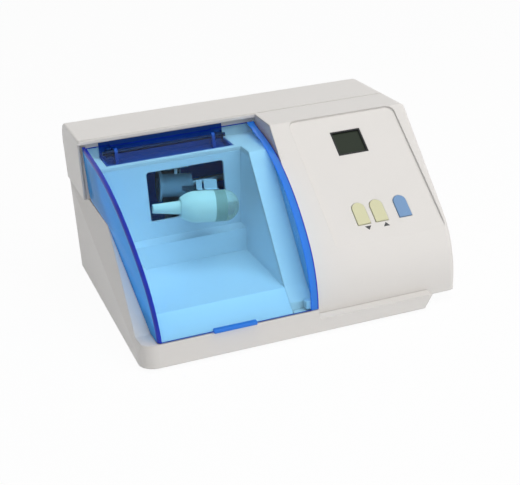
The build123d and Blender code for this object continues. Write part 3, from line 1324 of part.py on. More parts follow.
def inlet_shell():
    face = BASE_DEPTH
    fit = 2 * SCREW_FIT
    body = rear_box(INLET_X, INLET_Z, INLET_WIDTH - fit, INLET_HEIGHT - fit,
                    face - INLET_DEPTH, face + PLATE_THICK)
    flange = rear_box(INLET_X, INLET_Z, INLET_WIDTH + 2 * INLET_FLANGE, INLET_HEIGHT + 2 * INLET_FLANGE,
                      face, face + PLATE_THICK)
    socket = rear_box(INLET_X, INLET_Z + SOCKET_UP, SOCKET_WIDTH, SOCKET_HEIGHT,
                      face - SOCKET_DEPTH, face + BIG / 2)
    slot = rear_box(INLET_X, INLET_Z - DRAWER_DOWN, DRAWER_WIDTH + 2 * DRAWER_FIT,
                    DRAWER_HEIGHT + 2 * DRAWER_FIT, face - DRAWER_DEPTH - DRAWER_FIT, face + BIG / 2)
    return body + flange - socket - slot


def inlet_pins():
    pins = []
    floor = BASE_DEPTH - SOCKET_DEPTH
    for step in (-1, 0, 1):
        z = INLET_Z + SOCKET_UP - (0 if step else EARTH_DROP)
        x = INLET_X + step * PIN_PITCH
        pins.append(rear_box(x, z, PIN_WIDTH, PIN_HEIGHT, floor, floor + PIN_LENGTH))
    return pins


def fuse_drawer():
    face = BASE_DEPTH
    z = INLET_Z - DRAWER_DOWN
    body = rear_box(INLET_X, z, DRAWER_WIDTH, DRAWER_HEIGHT, face - DRAWER_DEPTH, face + PLATE_THICK)
    tray = rear_box(INLET_X, z + DRAWER_WALL, DRAWER_WIDTH - 2 * DRAWER_WALL, DRAWER_HEIGHT,
                    face - DRAWER_DEPTH + DRAWER_WALL, face - DRAWER_WALL)
    return body - tray


def fuse():
    z = INLET_Z - DRAWER_DOWN - DRAWER_HEIGHT / 2 + DRAWER_WALL + FUSE_RADIUS
    half = DRAWER_WIDTH / 2 - DRAWER_WALL
    y = BASE_DEPTH - DRAWER_DEPTH / 2
    return rod(FUSE_RADIUS, (INLET_X - half, y, z), (INLET_X + half, y, z))


def rocker_frame():
    face = BASE_DEPTH
    fit = 2 * SCREW_FIT
    body = rear_box(ROCKER_X, INLET_Z, ROCKER_WIDTH - fit, ROCKER_HEIGHT - fit,
                    face - ROCKER_DEPTH, face + PLATE_THICK)
    flange = rear_box(ROCKER_X, INLET_Z, ROCKER_WIDTH + 2 * ROCKER_FLANGE, ROCKER_HEIGHT + 2 * ROCKER_FLANGE,
                      face, face + PLATE_THICK)
    well = rear_box(ROCKER_X, INLET_Z, ROCKER_WIDTH - 2 * ROCKER_WALL, ROCKER_HEIGHT - 2 * ROCKER_WALL,
                    face - ROCKER_DEPTH + ROCKER_WALL, face + BIG / 2)
    return body + flange - well


def rocker():
    """A rocker that turns on an upright axis just behind the rear face."""
    pivot = BASE_DEPTH - ROCKER_PIVOT
    height = ROCKER_HEIGHT - 2 * ROCKER_WALL - 2 * ROCKER_FIT
    body = Cylinder(ROCKER_RADIUS, height)
    lean = math.radians(ROCKER_ANGLE)
    for side in (-1, 1):
        body = body - half_space((0, ROCKER_TOP, 0), (-side * math.sin(lean), math.cos(lean), 0))
    return Pos(ROCKER_X, pivot, INLET_Z) * Rot(0, 0, -ROCKER_ANGLE) * body


# ---------------------------------------------------------------- underside
def feet():
    pads = []
    for x, y in foot_places():
        pad = rod(FOOT_RADIUS, (x, y, -FOOT_PROUD), (x, y, FOOT_SINK))
        pad = pad - rod(SCREW_RADIUS + SCREW_FIT, (x, y, -FOOT_PROUD), (x, y, FOOT_SINK + 1))
        pads.append(pad - rod(SCREW_HEAD + SCREW_FIT, (x, y, -FOOT_PROUD - 1), (x, y, foot_seat())))
    return pads


def foot_seat():
    return SCREW_HEAD_THICK - FOOT_PROUD + FOOT_SINK / 2


def foot_screws():
    length = FLOOR + FOOT_BOSS / 2 - foot_seat() - 1
    return [upright_screw(x, y, foot_seat(), 1, length) for x, y in foot_places()]


def housing_screws():
    length = HOUSING_BOTTOM + BOSS_HEIGHT / 2 - SCREW_HEAD_THICK
    return [upright_screw(x, y, SCREW_HEAD_THICK, 1, length) for x, y in boss_places()]


# ---------------------------------------------------------------- the whole machine
def pieces():
    """Every node's name, with its solid or list of solids."""
    return {
        "base_tray": base_tray(),
        "upper_housing": upper_housing_finished(),
        "mixing_chamber": mixing_chamber(),
        "feet": feet(),
        "foot_screws": foot_screws(),
        "housing_screws": housing_screws(),
        "lid": lid(),
        "lid_magnet": lid_magnet(),
        "hinge_pin": hinge_pin(),
        "hinge_brackets": hinge_brackets(),
        "reed_switch": reed_switch(),
        "display_window": display_window(),
        "display_frame": display_frame(),
        "display_module": display_module(),
        "key_down": key(KEY_XS[0]),
        "key_up": key(KEY_XS[1]),
        "key_start": key(KEY_XS[2]),
        "control_board": control_board(),
        "tact_switches": tact_switches(),
        "board_screws": board_screws(),
        "ribbon": ribbon(),
        "motor_can": motor_can(),
        "end_shields": end_shields(),
        "bearings": bearings(),
        "cradle": cradle(),
        "rubber_mounts": rubber_mounts(),
        "cradle_screws": cradle_screws(),
        "restraint_leaf": restraint_leaf(),
        "grommet": grommet(),
        "drive_shaft": drive_shaft(),
        "wobble_journal": wobble_journal(),
        "armature": armature(),
        "fan": fan(),
        "wobble_hub": wobble_hub(),
        "journal_race": journal_race(),
        "stud": stud(),
        "shaker_arm": shaker_arm(),
        "capsule_clip": capsule_clip(),
        "capsule_body": capsule_body(),
        "capsule_ring": capsule_ring(),
        "capsule_dome": capsule_dome(),
        "power_board": power_board(),
        "board_parts": board_parts(),
        "transformer_core": transformer_core(),
        "transformer_coil": transformer_coil(),
        "inlet_shell": inlet_shell(),
        "inlet_pins": inlet_pins(),
        "fuse_drawer": fuse_drawer(),
        "fuse": fuse(),
        "rocker_frame": rocker_frame(),
        "rocker": rocker(),
    }


def as_one(shape):
    return Compound(children=list(shape)) if isinstance(shape, list) else shape


def export_all():
    os.makedirs("parts", exist_ok=True)
    shapes = {name: as_one(shape) for name, shape in pieces().items()}
    box = Compound(children=[Compound(shape.wrapped) for shape in shapes.values()]).bounding_box()
    shift = Pos(-(box.min.X + box.max.X) / 2, -(box.min.Y + box.max.Y) / 2, -box.min.Z)
    print("origin shift", shift.position)
    for name, shape in shapes.items():
        moved = shift * shape
        export_step(moved, "parts/" + name + ".step")


export_all()
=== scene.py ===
"""Dental amalgamator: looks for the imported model, laid out as a Blender add-on.

Lengths are written in millimetres from the front left bottom corner of the base tray, +X to
the right, +Y to the back and +Z up, and at() turns them into the frame's metres.
"""

import math

import bmesh
import bpy
from mathutils import Euler, Matrix, Vector


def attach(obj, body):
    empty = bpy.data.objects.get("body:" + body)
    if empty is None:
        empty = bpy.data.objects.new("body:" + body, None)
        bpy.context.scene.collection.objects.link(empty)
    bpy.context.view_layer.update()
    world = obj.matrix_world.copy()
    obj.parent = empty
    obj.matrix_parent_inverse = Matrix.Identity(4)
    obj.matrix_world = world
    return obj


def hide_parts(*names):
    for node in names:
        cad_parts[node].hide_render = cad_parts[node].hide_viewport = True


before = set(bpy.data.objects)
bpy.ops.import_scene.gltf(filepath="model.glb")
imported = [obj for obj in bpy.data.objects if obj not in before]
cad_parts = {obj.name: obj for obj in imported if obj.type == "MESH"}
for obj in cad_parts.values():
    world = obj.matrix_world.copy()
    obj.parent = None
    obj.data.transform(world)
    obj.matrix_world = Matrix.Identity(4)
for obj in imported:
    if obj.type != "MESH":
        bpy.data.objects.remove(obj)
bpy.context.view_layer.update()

bl_info = {
    "name": "Dental amalgamator",
    "version": (1, 0, 0),
    "blender": (4, 5, 0),
    "location": "3D View > Sidebar > Amalgamator",
    "description": "Dresses a desktop capsule mixer: mouldings, clear lid, shaker, panel, inlet",
    "category": "Object",
}

MM = 0.001
SHARP = math.radians(35)  # faces that meet at more than this angle keep a sharp edge
DATUM = Vector((-120.216, -106.5, 2.5))  # where the tray's corner lies in the frame, in mm


# ---------------------------------------------------------------- small helpers
def at(x, y, z):
    """A point in the frame, in metres, from one given in mm from the tray's corner."""
    return (Vector((x, y, z)) + DATUM) * MM


def to_linear(part):
    """Linear light from one sRGB part, both between 0 and 1."""
    return part / 12.92 if part <= 0.04045 else ((part + 0.055) / 1.055) ** 2.4


def to_coded(light):
    """The sRGB part of one linear light, both between 0 and 1."""
    return light * 12.92 if light <= 0.0031308 else 1.055 * light ** (1 / 2.4) - 0.055


def linear(code):
    """Linear RGBA from an sRGB hex value. A colour from the settings is linear already."""
    if not isinstance(code, str):
        return list(code)
    return [to_linear(int(code[i:i + 2], 16) / 255) for i in (0, 2, 4)] + [1.0]


def darker(colour, levels):
    """Linear RGBA of a colour whose red, green and blue are so many sRGB levels lower."""
    coded = [to_coded(light) - level / 255 for light, level in zip(linear(colour), levels)]
    return [to_linear(max(part, 0.0)) for part in coded] + [1.0]


def add_node(tree, kind, inputs=None, **options):
    """Adds a node with its options. inputs maps a socket's name or number to its value, or to
    the output that feeds it."""
    node = tree.nodes.new(kind)
    for name, value in options.items():
        setattr(node, name, value)
    for name, value in (inputs or {}).items():
        if isinstance(value, bpy.types.NodeSocket):
            tree.links.new(value, node.inputs[name])
        else:
            node.inputs[name].default_value = value
    return node


def per_mm(size):
    """A noise scale that makes one blotch that many mm wide."""
    return 1 / (size * MM)


def new_surface(name, colour, roughness, **more):
    """A material with one Principled shader, its uniform values set on the shader's sockets."""
    material = bpy.data.materials.new(name)
    material.use_nodes = True
    tree = material.node_tree
    shader = tree.nodes["Principled BSDF"]
    shader.inputs["Base Color"].default_value = linear(colour)
    shader.inputs["Roughness"].default_value = roughness
    for socket, value in more.items():
        shader.inputs[socket.replace("_", " ")].default_value = value
    return material, tree, shader


def finish_of(node, material):
    """Gives a CAD node its material."""
    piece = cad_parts[node]
    piece.data.materials.clear()
    piece.data.materials.append(material)


# ---------------------------------------------------------------- materials
CLOUD, FLOW = 38, 14  # width in mm of the blotches in moulded colour and in the lid's cut edge
# sRGB levels by which a colour is darker: blotches on white and on the keys, and the whole tray
UNEVEN, UNEVEN_KEY, TRAY_SHADE = (4, 3, 3), (8, 8, 8), (3, 3, 3)
GLOSS_SWING = 0.05  # how far the roughness of a moulded face strays each way
WAVE_DEPTH, WAVE_STRENGTH = 0.02, 0.3  # height in mm and strength of clear plastic's waves
LINE_STRENGTH, METAL_CORNER = 0.6, 0.3  # strength of a metal's lines, its corners' radius in mm
METAL_BRIGHTEST = 0.05  # the least roughness that a line on metal has


def moulded(name, colour, second, grain, depth, roughness, edge):
    """Moulded plastic, rubber or a coat of paint: fine grain, faint uneven colour, soft edges.

    grain and depth are in mm; edge is the radius that the eye sees on each corner, in mm. The
    real grain is about 0.1 mm wide, too fine to show, so it is drawn several times coarser."""
    material, tree, shader = new_surface(name, colour, roughness, IOR=1.5)
    place = add_node(tree, "ShaderNodeTexCoord").outputs["Object"]
    cloud = add_node(tree, "ShaderNodeTexNoise", {
        "Vector": place, "Scale": per_mm(CLOUD), "Detail": 3.0})
    tint = add_node(tree, "ShaderNodeMix", {
        0: cloud.outputs["Fac"], 6: linear(colour), 7: linear(second)}, data_type="RGBA")
    tree.links.new(tint.outputs[2], shader.inputs["Base Color"])
    pits = add_node(tree, "ShaderNodeTexNoise", {
        "Vector": place, "Scale": per_mm(grain), "Detail": 2.0})
    gloss = add_node(tree, "ShaderNodeMapRange", {
        "Value": pits.outputs["Fac"], "To Min": roughness - GLOSS_SWING,
        "To Max": roughness + GLOSS_SWING})
    tree.links.new(gloss.outputs["Result"], shader.inputs["Roughness"])
    corner = add_node(tree, "ShaderNodeBevel", {"Radius": edge * MM}, samples=6)
    bump = add_node(tree, "ShaderNodeBump", {
        "Height": pits.outputs["Fac"], "Normal": corner.outputs["Normal"], "Strength": 1.0,
        "Distance": depth * MM})
    tree.links.new(bump.outputs["Normal"], shader.inputs["Normal"])
    return material


def abs_housing():
    # ABS, moulded with a fine spark-eroded grain: white, satin, lit evenly with no mirror image
    white = settings().housing_colour
    return moulded("abs_white_moulded", white, darker(white, UNEVEN),
                   grain=0.5, depth=0.012, roughness=0.38, edge=1.1)


def abs_tray():
    # the same ABS as the housing, a shade greyer all over
    grey = darker(settings().housing_colour, TRAY_SHADE)
    return moulded("abs_white_tray", grey, darker(grey, UNEVEN),
                   grain=0.5, depth=0.012, roughness=0.42, edge=1.0)


def abs_liner():
    # ABS, moulded and polished a little more: white, wipes clean
    return moulded("abs_white_liner", "DDE2E6", "D8DEE2",
                   grain=0.7, depth=0.008, roughness=0.3, edge=1.2)


def abs_black():
    # ABS, moulded black with a matt grain
    return moulded("abs_black_moulded", "1B1B1D", "222224",
                   grain=0.5, depth=0.015, roughness=0.45, edge=0.5)


def rubber_moulded():
    # nitrile rubber, moulded: nearly black, dull, with a soft sheen at grazing angles
    return moulded("nitrile_rubber_moulded", "1C1C1C", "242424",
                   grain=0.8, depth=0.02, roughness=0.75, edge=0.5)


def key_cap(name, colour):
    # silicone rubber, moulded: dull and slightly soft-edged
    return moulded(name, colour, darker(colour, UNEVEN_KEY), grain=0.5, depth=0.01,
                   roughness=0.5, edge=0.5)


def clear_plastic(name, colour, shadow, roughness, wave, clear=1.0, sheen=1.0, **more):
    """Clear moulded plastic that lets lamps through, tinted, its faces wavy over wave mm.

    sheen is the share of the surface that mirrors the room; the rest only bends the light.
    clear is how much of the light that meets that share goes through it."""
    material, tree, shader = new_surface(name, colour, roughness, IOR=1.5,
                                         Transmission_Weight=clear, **more)
    place = add_node(tree, "ShaderNodeTexCoord").outputs["Object"]
    flow = add_node(tree, "ShaderNodeTexNoise", {
        "Vector": place, "Scale": per_mm(wave), "Detail": 1.0})
    bump = add_node(tree, "ShaderNodeBump", {
        "Height": flow.outputs["Fac"], "Strength": WAVE_STRENGTH, "Distance": WAVE_DEPTH * MM})
    tree.links.new(bump.outputs["Normal"], shader.inputs["Normal"])
    # light bends at both faces of the sheet, and each of them takes half of the tint
    once = [math.sqrt(c) for c in linear(colour)]
    bend = add_node(tree, "ShaderNodeBsdfRefraction", {
        "Color": once, "Roughness": roughness, "IOR": 1.5, "Normal": bump.outputs["Normal"]})
    body = add_node(tree, "ShaderNodeMixShader", {
        0: sheen, 1: bend.outputs["BSDF"], 2: shader.outputs["BSDF"]})
    lit = add_node(tree, "ShaderNodeBsdfTransparent", {"Color": linear(shadow)})
    ray = add_node(tree, "ShaderNodeLightPath")
    mix = add_node(tree, "ShaderNodeMixShader", {
        0: ray.outputs["Is Shadow Ray"], 1: body.outputs["Shader"], 2: lit.outputs["BSDF"]})
    tree.links.new(mix.outputs["Shader"], tree.nodes["Material Output"].inputs["Surface"])
    return material


def polycarbonate_lid():
    # polycarbonate, moulded and tinted blue: see-through, glossy, paler than its edges
    tint = settings().lid_colour
    return clear_plastic("polycarbonate_blue", tint, "F4FAFE", roughness=0.03, wave=9.0,
                         sheen=0.12, Specular_IOR_Level=0.2)


def polycarbonate_wall():
    # the same polycarbonate where the eye looks along the sheet and the tint gathers
    return clear_plastic("polycarbonate_blue_thick", "3490F4", "9CCBF6", roughness=0.08, wave=9.0,
                         clear=0.35, Specular_IOR_Level=0.2)


def polycarbonate_side():
    # the same polycarbonate on the left wall, which the light crosses at a slant
    return clear_plastic("polycarbonate_blue_side", "58BCFF", "C8E4FA", roughness=0.05, wave=9.0,
                         clear=0.0, sheen=0.6, Specular_IOR_Level=0.04)


def polycarbonate_cheek():
    # the same polycarbonate on the right wall, which hides the narrow gap behind it
    return clear_plastic("polycarbonate_blue_cheek", "7CC0F0", "C8E4FA", roughness=0.1, wave=9.0,
                         clear=0.2, Specular_IOR_Level=0.2)


def polycarbonate_edge():
    # the cut of the sheet, and the bevels along its seams: painted light, deep blue, for light that
    # runs along the plastic and leaves here
    material, tree, shader = new_surface("polycarbonate_blue_edge", "0E2CB0", 0.2, IOR=1.5,
                                         Specular_IOR_Level=0.3)
    place = add_node(tree, "ShaderNodeTexCoord").outputs["Object"]
    flow = add_node(tree, "ShaderNodeTexNoise", {
        "Vector": place, "Scale": per_mm(FLOW), "Detail": 1.0})
    tint = add_node(tree, "ShaderNodeMix", {
        0: flow.outputs["Fac"], 6: linear("0A1C96"), 7: linear("1638CC")}, data_type="RGBA")
    tree.links.new(tint.outputs[2], shader.inputs["Base Color"])
    return material


def metal(name, colour, roughness, squeeze, length, depth):
    """Bare metal with fine lines: length is how long they are and depth how high, in mm, and
    squeeze how many times narrower they are along each axis.

    Real lines are a few hundredths of a mm wide, too fine to show, so they are drawn coarser."""
    material, tree, shader = new_surface(name, colour, roughness, Metallic=1.0)
    place = add_node(tree, "ShaderNodeTexCoord").outputs["Object"]
    along = add_node(tree, "ShaderNodeMapping", {"Vector": place, "Scale": squeeze})
    lines = add_node(tree, "ShaderNodeTexNoise", {
        "Vector": along.outputs["Vector"], "Scale": per_mm(length), "Detail": 4.0})
    gloss = add_node(tree, "ShaderNodeMapRange", {
        "Value": lines.outputs["Fac"], "To Min": max(roughness - 0.1, METAL_BRIGHTEST),
        "To Max": roughness + 0.12})
    tree.links.new(gloss.outputs["Result"], shader.inputs["Roughness"])
    corner = add_node(tree, "ShaderNodeBevel", {"Radius": METAL_CORNER * MM}, samples=4)
    bump = add_node(tree, "ShaderNodeBump", {
        "Height": lines.outputs["Fac"], "Normal": corner.outputs["Normal"],
        "Strength": LINE_STRENGTH, "Distance": depth * MM})
    tree.links.new(bump.outputs["Normal"], shader.inputs["Normal"])
    return material


# ---------------------------------------------------------------- lid
NOTCH = (19.0, 98.5, 137.0)  # left and right end of the roof's notch, and where it starts
HINGE = (134.0, 107.609)  # depth and height of the lid's axis
CHEEK_REAR = 135.5  # where the lid's right wall ends
WALL_BEHIND = 2.0  # the left wall reaches this far behind the roof
THICK = 5.5  # width of the roof's strip over the right wall
SEAM_LEFT, SEAM_RIGHT = 2.6, 1.2  # width of the bevels along the lid's two long seams
TAB_X, TAB_Y, TAB_Z, TAB_EDGE = (46.0, 76.0), (-2.5, 1.7), (16.75, 19.5), 0.6  # finger tab
TONGUE_LEFTS, TONGUE_WIDTH = {"left": 14.75, "right": 97.75}, 5.0  # sleeves round the hinge pin
TONGUE_RADIUS, PIN_BORE = 3.5, 1.6
REAR_ROWS = (112.0, 117.0, 122.0, 127.0, 132.0)  # depths that divide the roof's straight end
ROOF_COLUMNS = 13
LID = {
    "front": 0.5, "bottom": 17.0, "rear": 139.0,  # where it starts, and where the roof ends
    "left": 8.8, "right": 121.0, "lean": 0.04,  # its two sides at the bottom, and how they lean
    "nose": 62.0, "roof": 160.0,  # radii of the front and of the roof behind it
    "break": 48.0, "slope": 9.0,  # slope in degrees where the two meet and at the roof's end
}
# side view of the right wall's lower edge, from the rear to the front
CHEEK_EDGE = ((CHEEK_REAR, 103.92), (94.3, 103.92), (19.6, 29.3), (10.1, 22.3), (8.5, 17.0))
# corners of the left wall's lower edge in side view, and the rear one's radius
RIM_REAR, RIM_KNEE, RIM_FRONT, RIM_RADIUS = (146.0, 73.0), (96.0, 68.5), (18.0, 17.0), 8.0
ARC_STEPS = 8
SEAM_ANGLE = 1.0  # faces of the lid that meet at more than this, in radians, get a bevel
ROOF, STRIP, SEAM, SIDE, CHEEK = range(5)  # numbers of the lid's looks

# ---------------------------------------------------------------- housing and panel
# side view of the wall behind the lid's left wall, its left end, and its reach past the lid's face
WELL_END = ((143.5, 117.0), (146.0, 117.0), (149.5, 73.0), (147.0, 73.0))
WELL_END_LEFT, WELL_END_REACH = -2.25, 5.4
TRAY_X, TRAY_Y, TRAY_Z = (11.6, 105.9), (142.9, 143.4), (103.4, 116.0)  # thin navy sheet on the riser behind the hinge tray
SHADE_SHEET_X, SHADE_SHEET_Y, SHADE_SHEET_Z = (14.0, 150.0), (206.4, 207.0), (12.0, 104.0)  # sheet in the rear wall: painted shade
PANEL_FOOT = (30.07, 58.7)  # depth and height of the sloping panel's foot
PANEL_SLOPE = 40.0
PANEL_SINK = 1.5  # its sunk floor lies this far under the face
KEY_MARKS = ((172.5, -2.6, -1), (186.1, -2.2, 1))  # place on the slope, and which way each points
MARK_WIDE, MARK_TALL, INK_THICK = 2.4, 1.6, 0.06  # half its width and height, and its thickness


def lid_profile(step=2.0):
    """Side view of the lid's outer face, (depth, height) from the bottom edge to the hinge.

    step is the angle between two points on the front, in degrees; the roof has half of it."""
    points = [(LID["front"], LID["bottom"])]
    nose = (LID["front"] + LID["nose"], LID["bottom"])
    end = 90 + LID["break"]
    count = int((180 - end) / step)
    for i in range(1, count + 1):
        a = math.radians(180 - (180 - end) * i / count)
        points.append((nose[0] + LID["nose"] * math.cos(a), nose[1] + LID["nose"] * math.sin(a)))
    meet = points[-1]
    a = math.radians(end)
    roof = (meet[0] - LID["roof"] * math.cos(a), meet[1] - LID["roof"] * math.sin(a))
    stop = 90 + LID["slope"]
    count = int((end - stop) / step * 2)
    for i in range(1, count + 1):
        a = math.radians(end - (end - stop) * i / count)
        points.append((roof[0] + LID["roof"] * math.cos(a), roof[1] + LID["roof"] * math.sin(a)))
    y, z = points[-1]
    rise = math.tan(math.radians(LID["slope"]))
    for far in (*REAR_ROWS, CHEEK_REAR, NOTCH[2], LID["rear"]):
        if far > y + 1:
            points.append((far, z + (far - y) * rise))
    return points


def lid_left(y, z):
    """Where the lid's left side is at that depth and height."""
    return LID["left"] - LID["lean"] * (z - LID["bottom"]) - LID["lean"] * y


def lid_right(y, z):
    """Where the lid's right side is at that depth and height."""
    return LID["right"] + LID["lean"] * (z - LID["bottom"]) + LID["lean"] * y


def rim_profile():
    """Side view of the left wall's lower edge, from the rear corner to the front."""
    rear, knee = Vector(RIM_REAR), Vector(RIM_KNEE)
    rise = math.tan(math.radians(LID["slope"]))
    top = Vector((LID["rear"] + WALL_BEHIND, lid_profile()[-1][1] + WALL_BEHIND * rise))
    points = [tuple(top)]
    a, b = (top - rear).normalized(), (knee - rear).normalized()
    half = a.angle(b) / 2
    reach = RIM_RADIUS / math.tan(half)
    centre = rear + (a + b).normalized() * RIM_RADIUS / math.sin(half)
    start, stop = rear + a * reach, rear + b * reach
    for i in range(ARC_STEPS + 1):
        way = ((start - centre).lerp(stop - centre, i / ARC_STEPS)).normalized() * RIM_RADIUS
        points.append(tuple(centre + way))
    return points + [RIM_KNEE, RIM_FRONT]


def lid_skin():
    """The lid's outer faces as one open skin with bevelled seams."""
    mesh = bmesh.new()
    profile = lid_profile()
    lefts = [mesh.verts.new(at(lid_left(y, z), y, z)) for y, z in profile]
    rights = [mesh.verts.new(at(lid_right(y, z), y, z)) for y, z in profile]
    rows = [lefts]
    for c in range(1, ROOF_COLUMNS + 1):
        row = []
        for (y, z), start in zip(profile, lefts):
            reach = (lid_right(y, z) - THICK - lid_left(y, z)) * MM
            row.append(mesh.verts.new(start.co + Vector((reach * c / ROOF_COLUMNS, 0, 0))))
        rows.append(row)
    rows.append(rights)
    for low, high in zip(rows[:-1], rows[1:]):
        for i in range(len(profile) - 1):
            middle = (low[i].co.x + high[i].co.x) / 2 / MM - DATUM.x
            if profile[i + 1][0] > NOTCH[2] and NOTCH[0] < middle < NOTCH[1]:
                continue
            face = mesh.faces.new((low[i], high[i], high[i + 1], low[i + 1]))
            face.material_index = STRIP if high is rights else ROOF
    rim = [mesh.verts.new(at(lid_left(y, z), y, z)) for y, z in rim_profile()]
    left_wall = mesh.faces.new(list(reversed(lefts + rim)))
    lower = [mesh.verts.new(at(lid_right(y, z), y, z)) for y, z in CHEEK_EDGE]
    upper = [vert for vert, (y, z) in zip(rights, profile) if y <= CHEEK_REAR]
    right_wall = mesh.faces.new(upper + lower)
    left_wall.material_index = SIDE
    right_wall.material_index = CHEEK
    # the skin is open, so its faces can all come out turned inwards
    bmesh.ops.recalc_face_normals(mesh, faces=mesh.faces)
    if sum(f.normal.z * f.calc_area() for f in mesh.faces) < 0:
        bmesh.ops.reverse_faces(mesh, faces=mesh.faces)
    seams = [e for e in mesh.edges if len(e.link_faces) == 2 and e.calc_face_angle(0) > SEAM_ANGLE]
    ends = set(lefts)
    left = [e for e in seams if e.verts[0] in ends]
    right = [e for e in seams if e.verts[0] not in ends]
    # the bevels take the deep blue cut-edge look: a painted reflection of the light running along
    # the bent sheet
    for seam, width in ((right, SEAM_RIGHT), (left, SEAM_LEFT)):
        bmesh.ops.bevel(mesh, geom=seam, offset=width * MM, segments=3, profile=0.5,
                        affect="EDGES", material=SEAM, clamp_overlap=True)
    return mesh


def show(name, mesh, materials, body, node=None):
    """Makes an object of a bmesh, smooth between its sharp edges, and lets it ride on a body."""
    data = bpy.data.meshes.new(name)
    mesh.to_mesh(data)
    mesh.free()
    for material in materials:
        data.materials.append(material)
    piece = bpy.data.objects.new(name, data)
    bpy.context.scene.collection.objects.link(piece)
    data.shade_smooth()
    data.set_sharp_from_angle(angle=SHARP)
    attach(piece, body)
    if node:
        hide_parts(node)
    return piece


def apply_modifier(piece, kind, **values):
    """Adds a modifier to a piece and keeps its result as the piece's mesh."""
    modifier = piece.modifiers.new(kind.title(), kind)
    for name, value in values.items():
        setattr(modifier, name, value)
    evaluated = piece.evaluated_get(bpy.context.evaluated_depsgraph_get())
    shaped = bpy.data.meshes.new_from_object(evaluated)
    piece.modifiers.clear()
    piece.data = shaped


def block_mesh(mesh, x, y, z, bevel=0.0, index=0):
    """Adds a box given by its (low, high) limits in mm, its edges rounded by bevel mm."""
    corners = [mesh.verts.new(at(x[i], y[j], z[k])) for i in (0, 1) for j in (0, 1) for k in (0, 1)]
    quads = ((0, 1, 3, 2), (4, 6, 7, 5), (0, 4, 5, 1), (2, 3, 7, 6), (0, 2, 6, 4), (1, 5, 7, 3))
    faces = [mesh.faces.new([corners[i] for i in quad]) for quad in quads]
    for face in faces:
        face.material_index = index
    if bevel:
        edges = list({e for f in faces for e in f.edges})
        bmesh.ops.bevel(mesh, geom=edges, offset=bevel * MM, segments=3, profile=0.5,
                        affect="EDGES")
    return mesh


def ring_mesh(mesh, left, right, centre, outer, inner, steps=40):
    """Adds a tube along X between left and right, with both ends closed, in mm."""
    y, z = centre
    turn = [2 * math.pi * i / steps for i in range(steps)]
    rings = []
    for x, r in ((left, inner), (left, outer), (right, outer), (right, inner)):
        rings.append([mesh.verts.new(at(x, y + r * math.cos(a), z + r * math.sin(a)))
                      for a in turn])
    for low, high in zip(rings, rings[1:] + rings[:1]):
        for i in range(steps):
            j = (i + 1) % steps
            mesh.faces.new((low[i], low[j], high[j], high[i]))
    return mesh


def prism_mesh(mesh, low, high):
    """Adds a solid between two outlines that have the same number of corners, given in mm."""
    ends = [[mesh.verts.new(at(*corner)) for corner in outline] for outline in (low, high)]
    count = len(low)
    mesh.faces.new(list(reversed(ends[0])))
    mesh.faces.new(ends[1])
    for i in range(count):
        j = (i + 1) % count
        mesh.faces.new((ends[0][i], ends[0][j], ends[1][j], ends[1][i]))
    bmesh.ops.recalc_face_normals(mesh, faces=mesh.faces)
    return mesh


def on_panel(x, up, proud):
    """A point over the panel's sunk floor: up the slope from its foot and proud of the floor."""
    turn = math.radians(PANEL_SLOPE)
    sunk = PANEL_SINK - proud
    return (x, PANEL_FOOT[0] + up * math.cos(turn) + sunk * math.sin(turn),
            PANEL_FOOT[1] + up * math.sin(turn) - sunk * math.cos(turn))


# ---------------------------------------------------------------- properties
def colour_property(name, description, code):
    """A colour that a user would change, with its default as an sRGB hex value."""
    return bpy.props.FloatVectorProperty(
        name=name, description=description, default=linear(code), size=4, subtype="COLOR",
        min=0.0, max=1.0)


class AmalgamatorSettings(bpy.types.PropertyGroup):
    """Colours and sizes that a user would change."""
    housing_colour: colour_property("Housing", "Colour of the housing and the base tray", "E3DFDB")
    lid_colour: colour_property("Lid", "Tint of the clear lid's roof", "B2DAEF")
    key_colour: colour_property("Time keys", "Colour of the two time keys", "DBD9B4")
    start_key_colour: colour_property("Start key", "Colour of the start key", "7C9EC6")
    floor_colour: colour_property("Floor", "Colour of the plain floor", "F4F5F6")
    lid_thickness: bpy.props.FloatProperty(
        name="Lid wall", description="Thickness of the clear lid's sheet", default=0.0024,
        min=0.001, max=0.004, unit="LENGTH", subtype="DISTANCE")
    lamp_power: bpy.props.FloatProperty(
        name="Soft box", description="Power of the largest lamp, which sets the other three",
        default=34.0, min=0.0, unit="POWER")


def settings():
    """The sizes and colours as they stand in this scene."""
    return bpy.context.scene.amalgamator


# ---------------------------------------------------------------- operators
class AMALGAMATOR_OT_housing(bpy.types.Operator):
    """Finish the housing, the base tray and the mixing chamber"""
    bl_idname = "amalgamator.housing"
    bl_label = "Housing"

    def execute(self, context):
        white = abs_housing()
        finish_of("upper_housing", white)
        # the housing's own wall behind the lid's left wall, which ends the space it swings in
        end = prism_mesh(bmesh.new(), [(WELL_END_LEFT, y, z) for y, z in WELL_END],
                         [(lid_left(y, z) + WELL_END_REACH, y, z) for y, z in WELL_END])
        show("housing_well_end", end, [white], "base")
        finish_of("base_tray", abs_tray())
        finish_of("mixing_chamber", abs_liner())
        rubber = rubber_moulded()
        for node in ("feet", "rubber_mounts", "grommet"):
            finish_of(node, rubber)
        return {"FINISHED"}


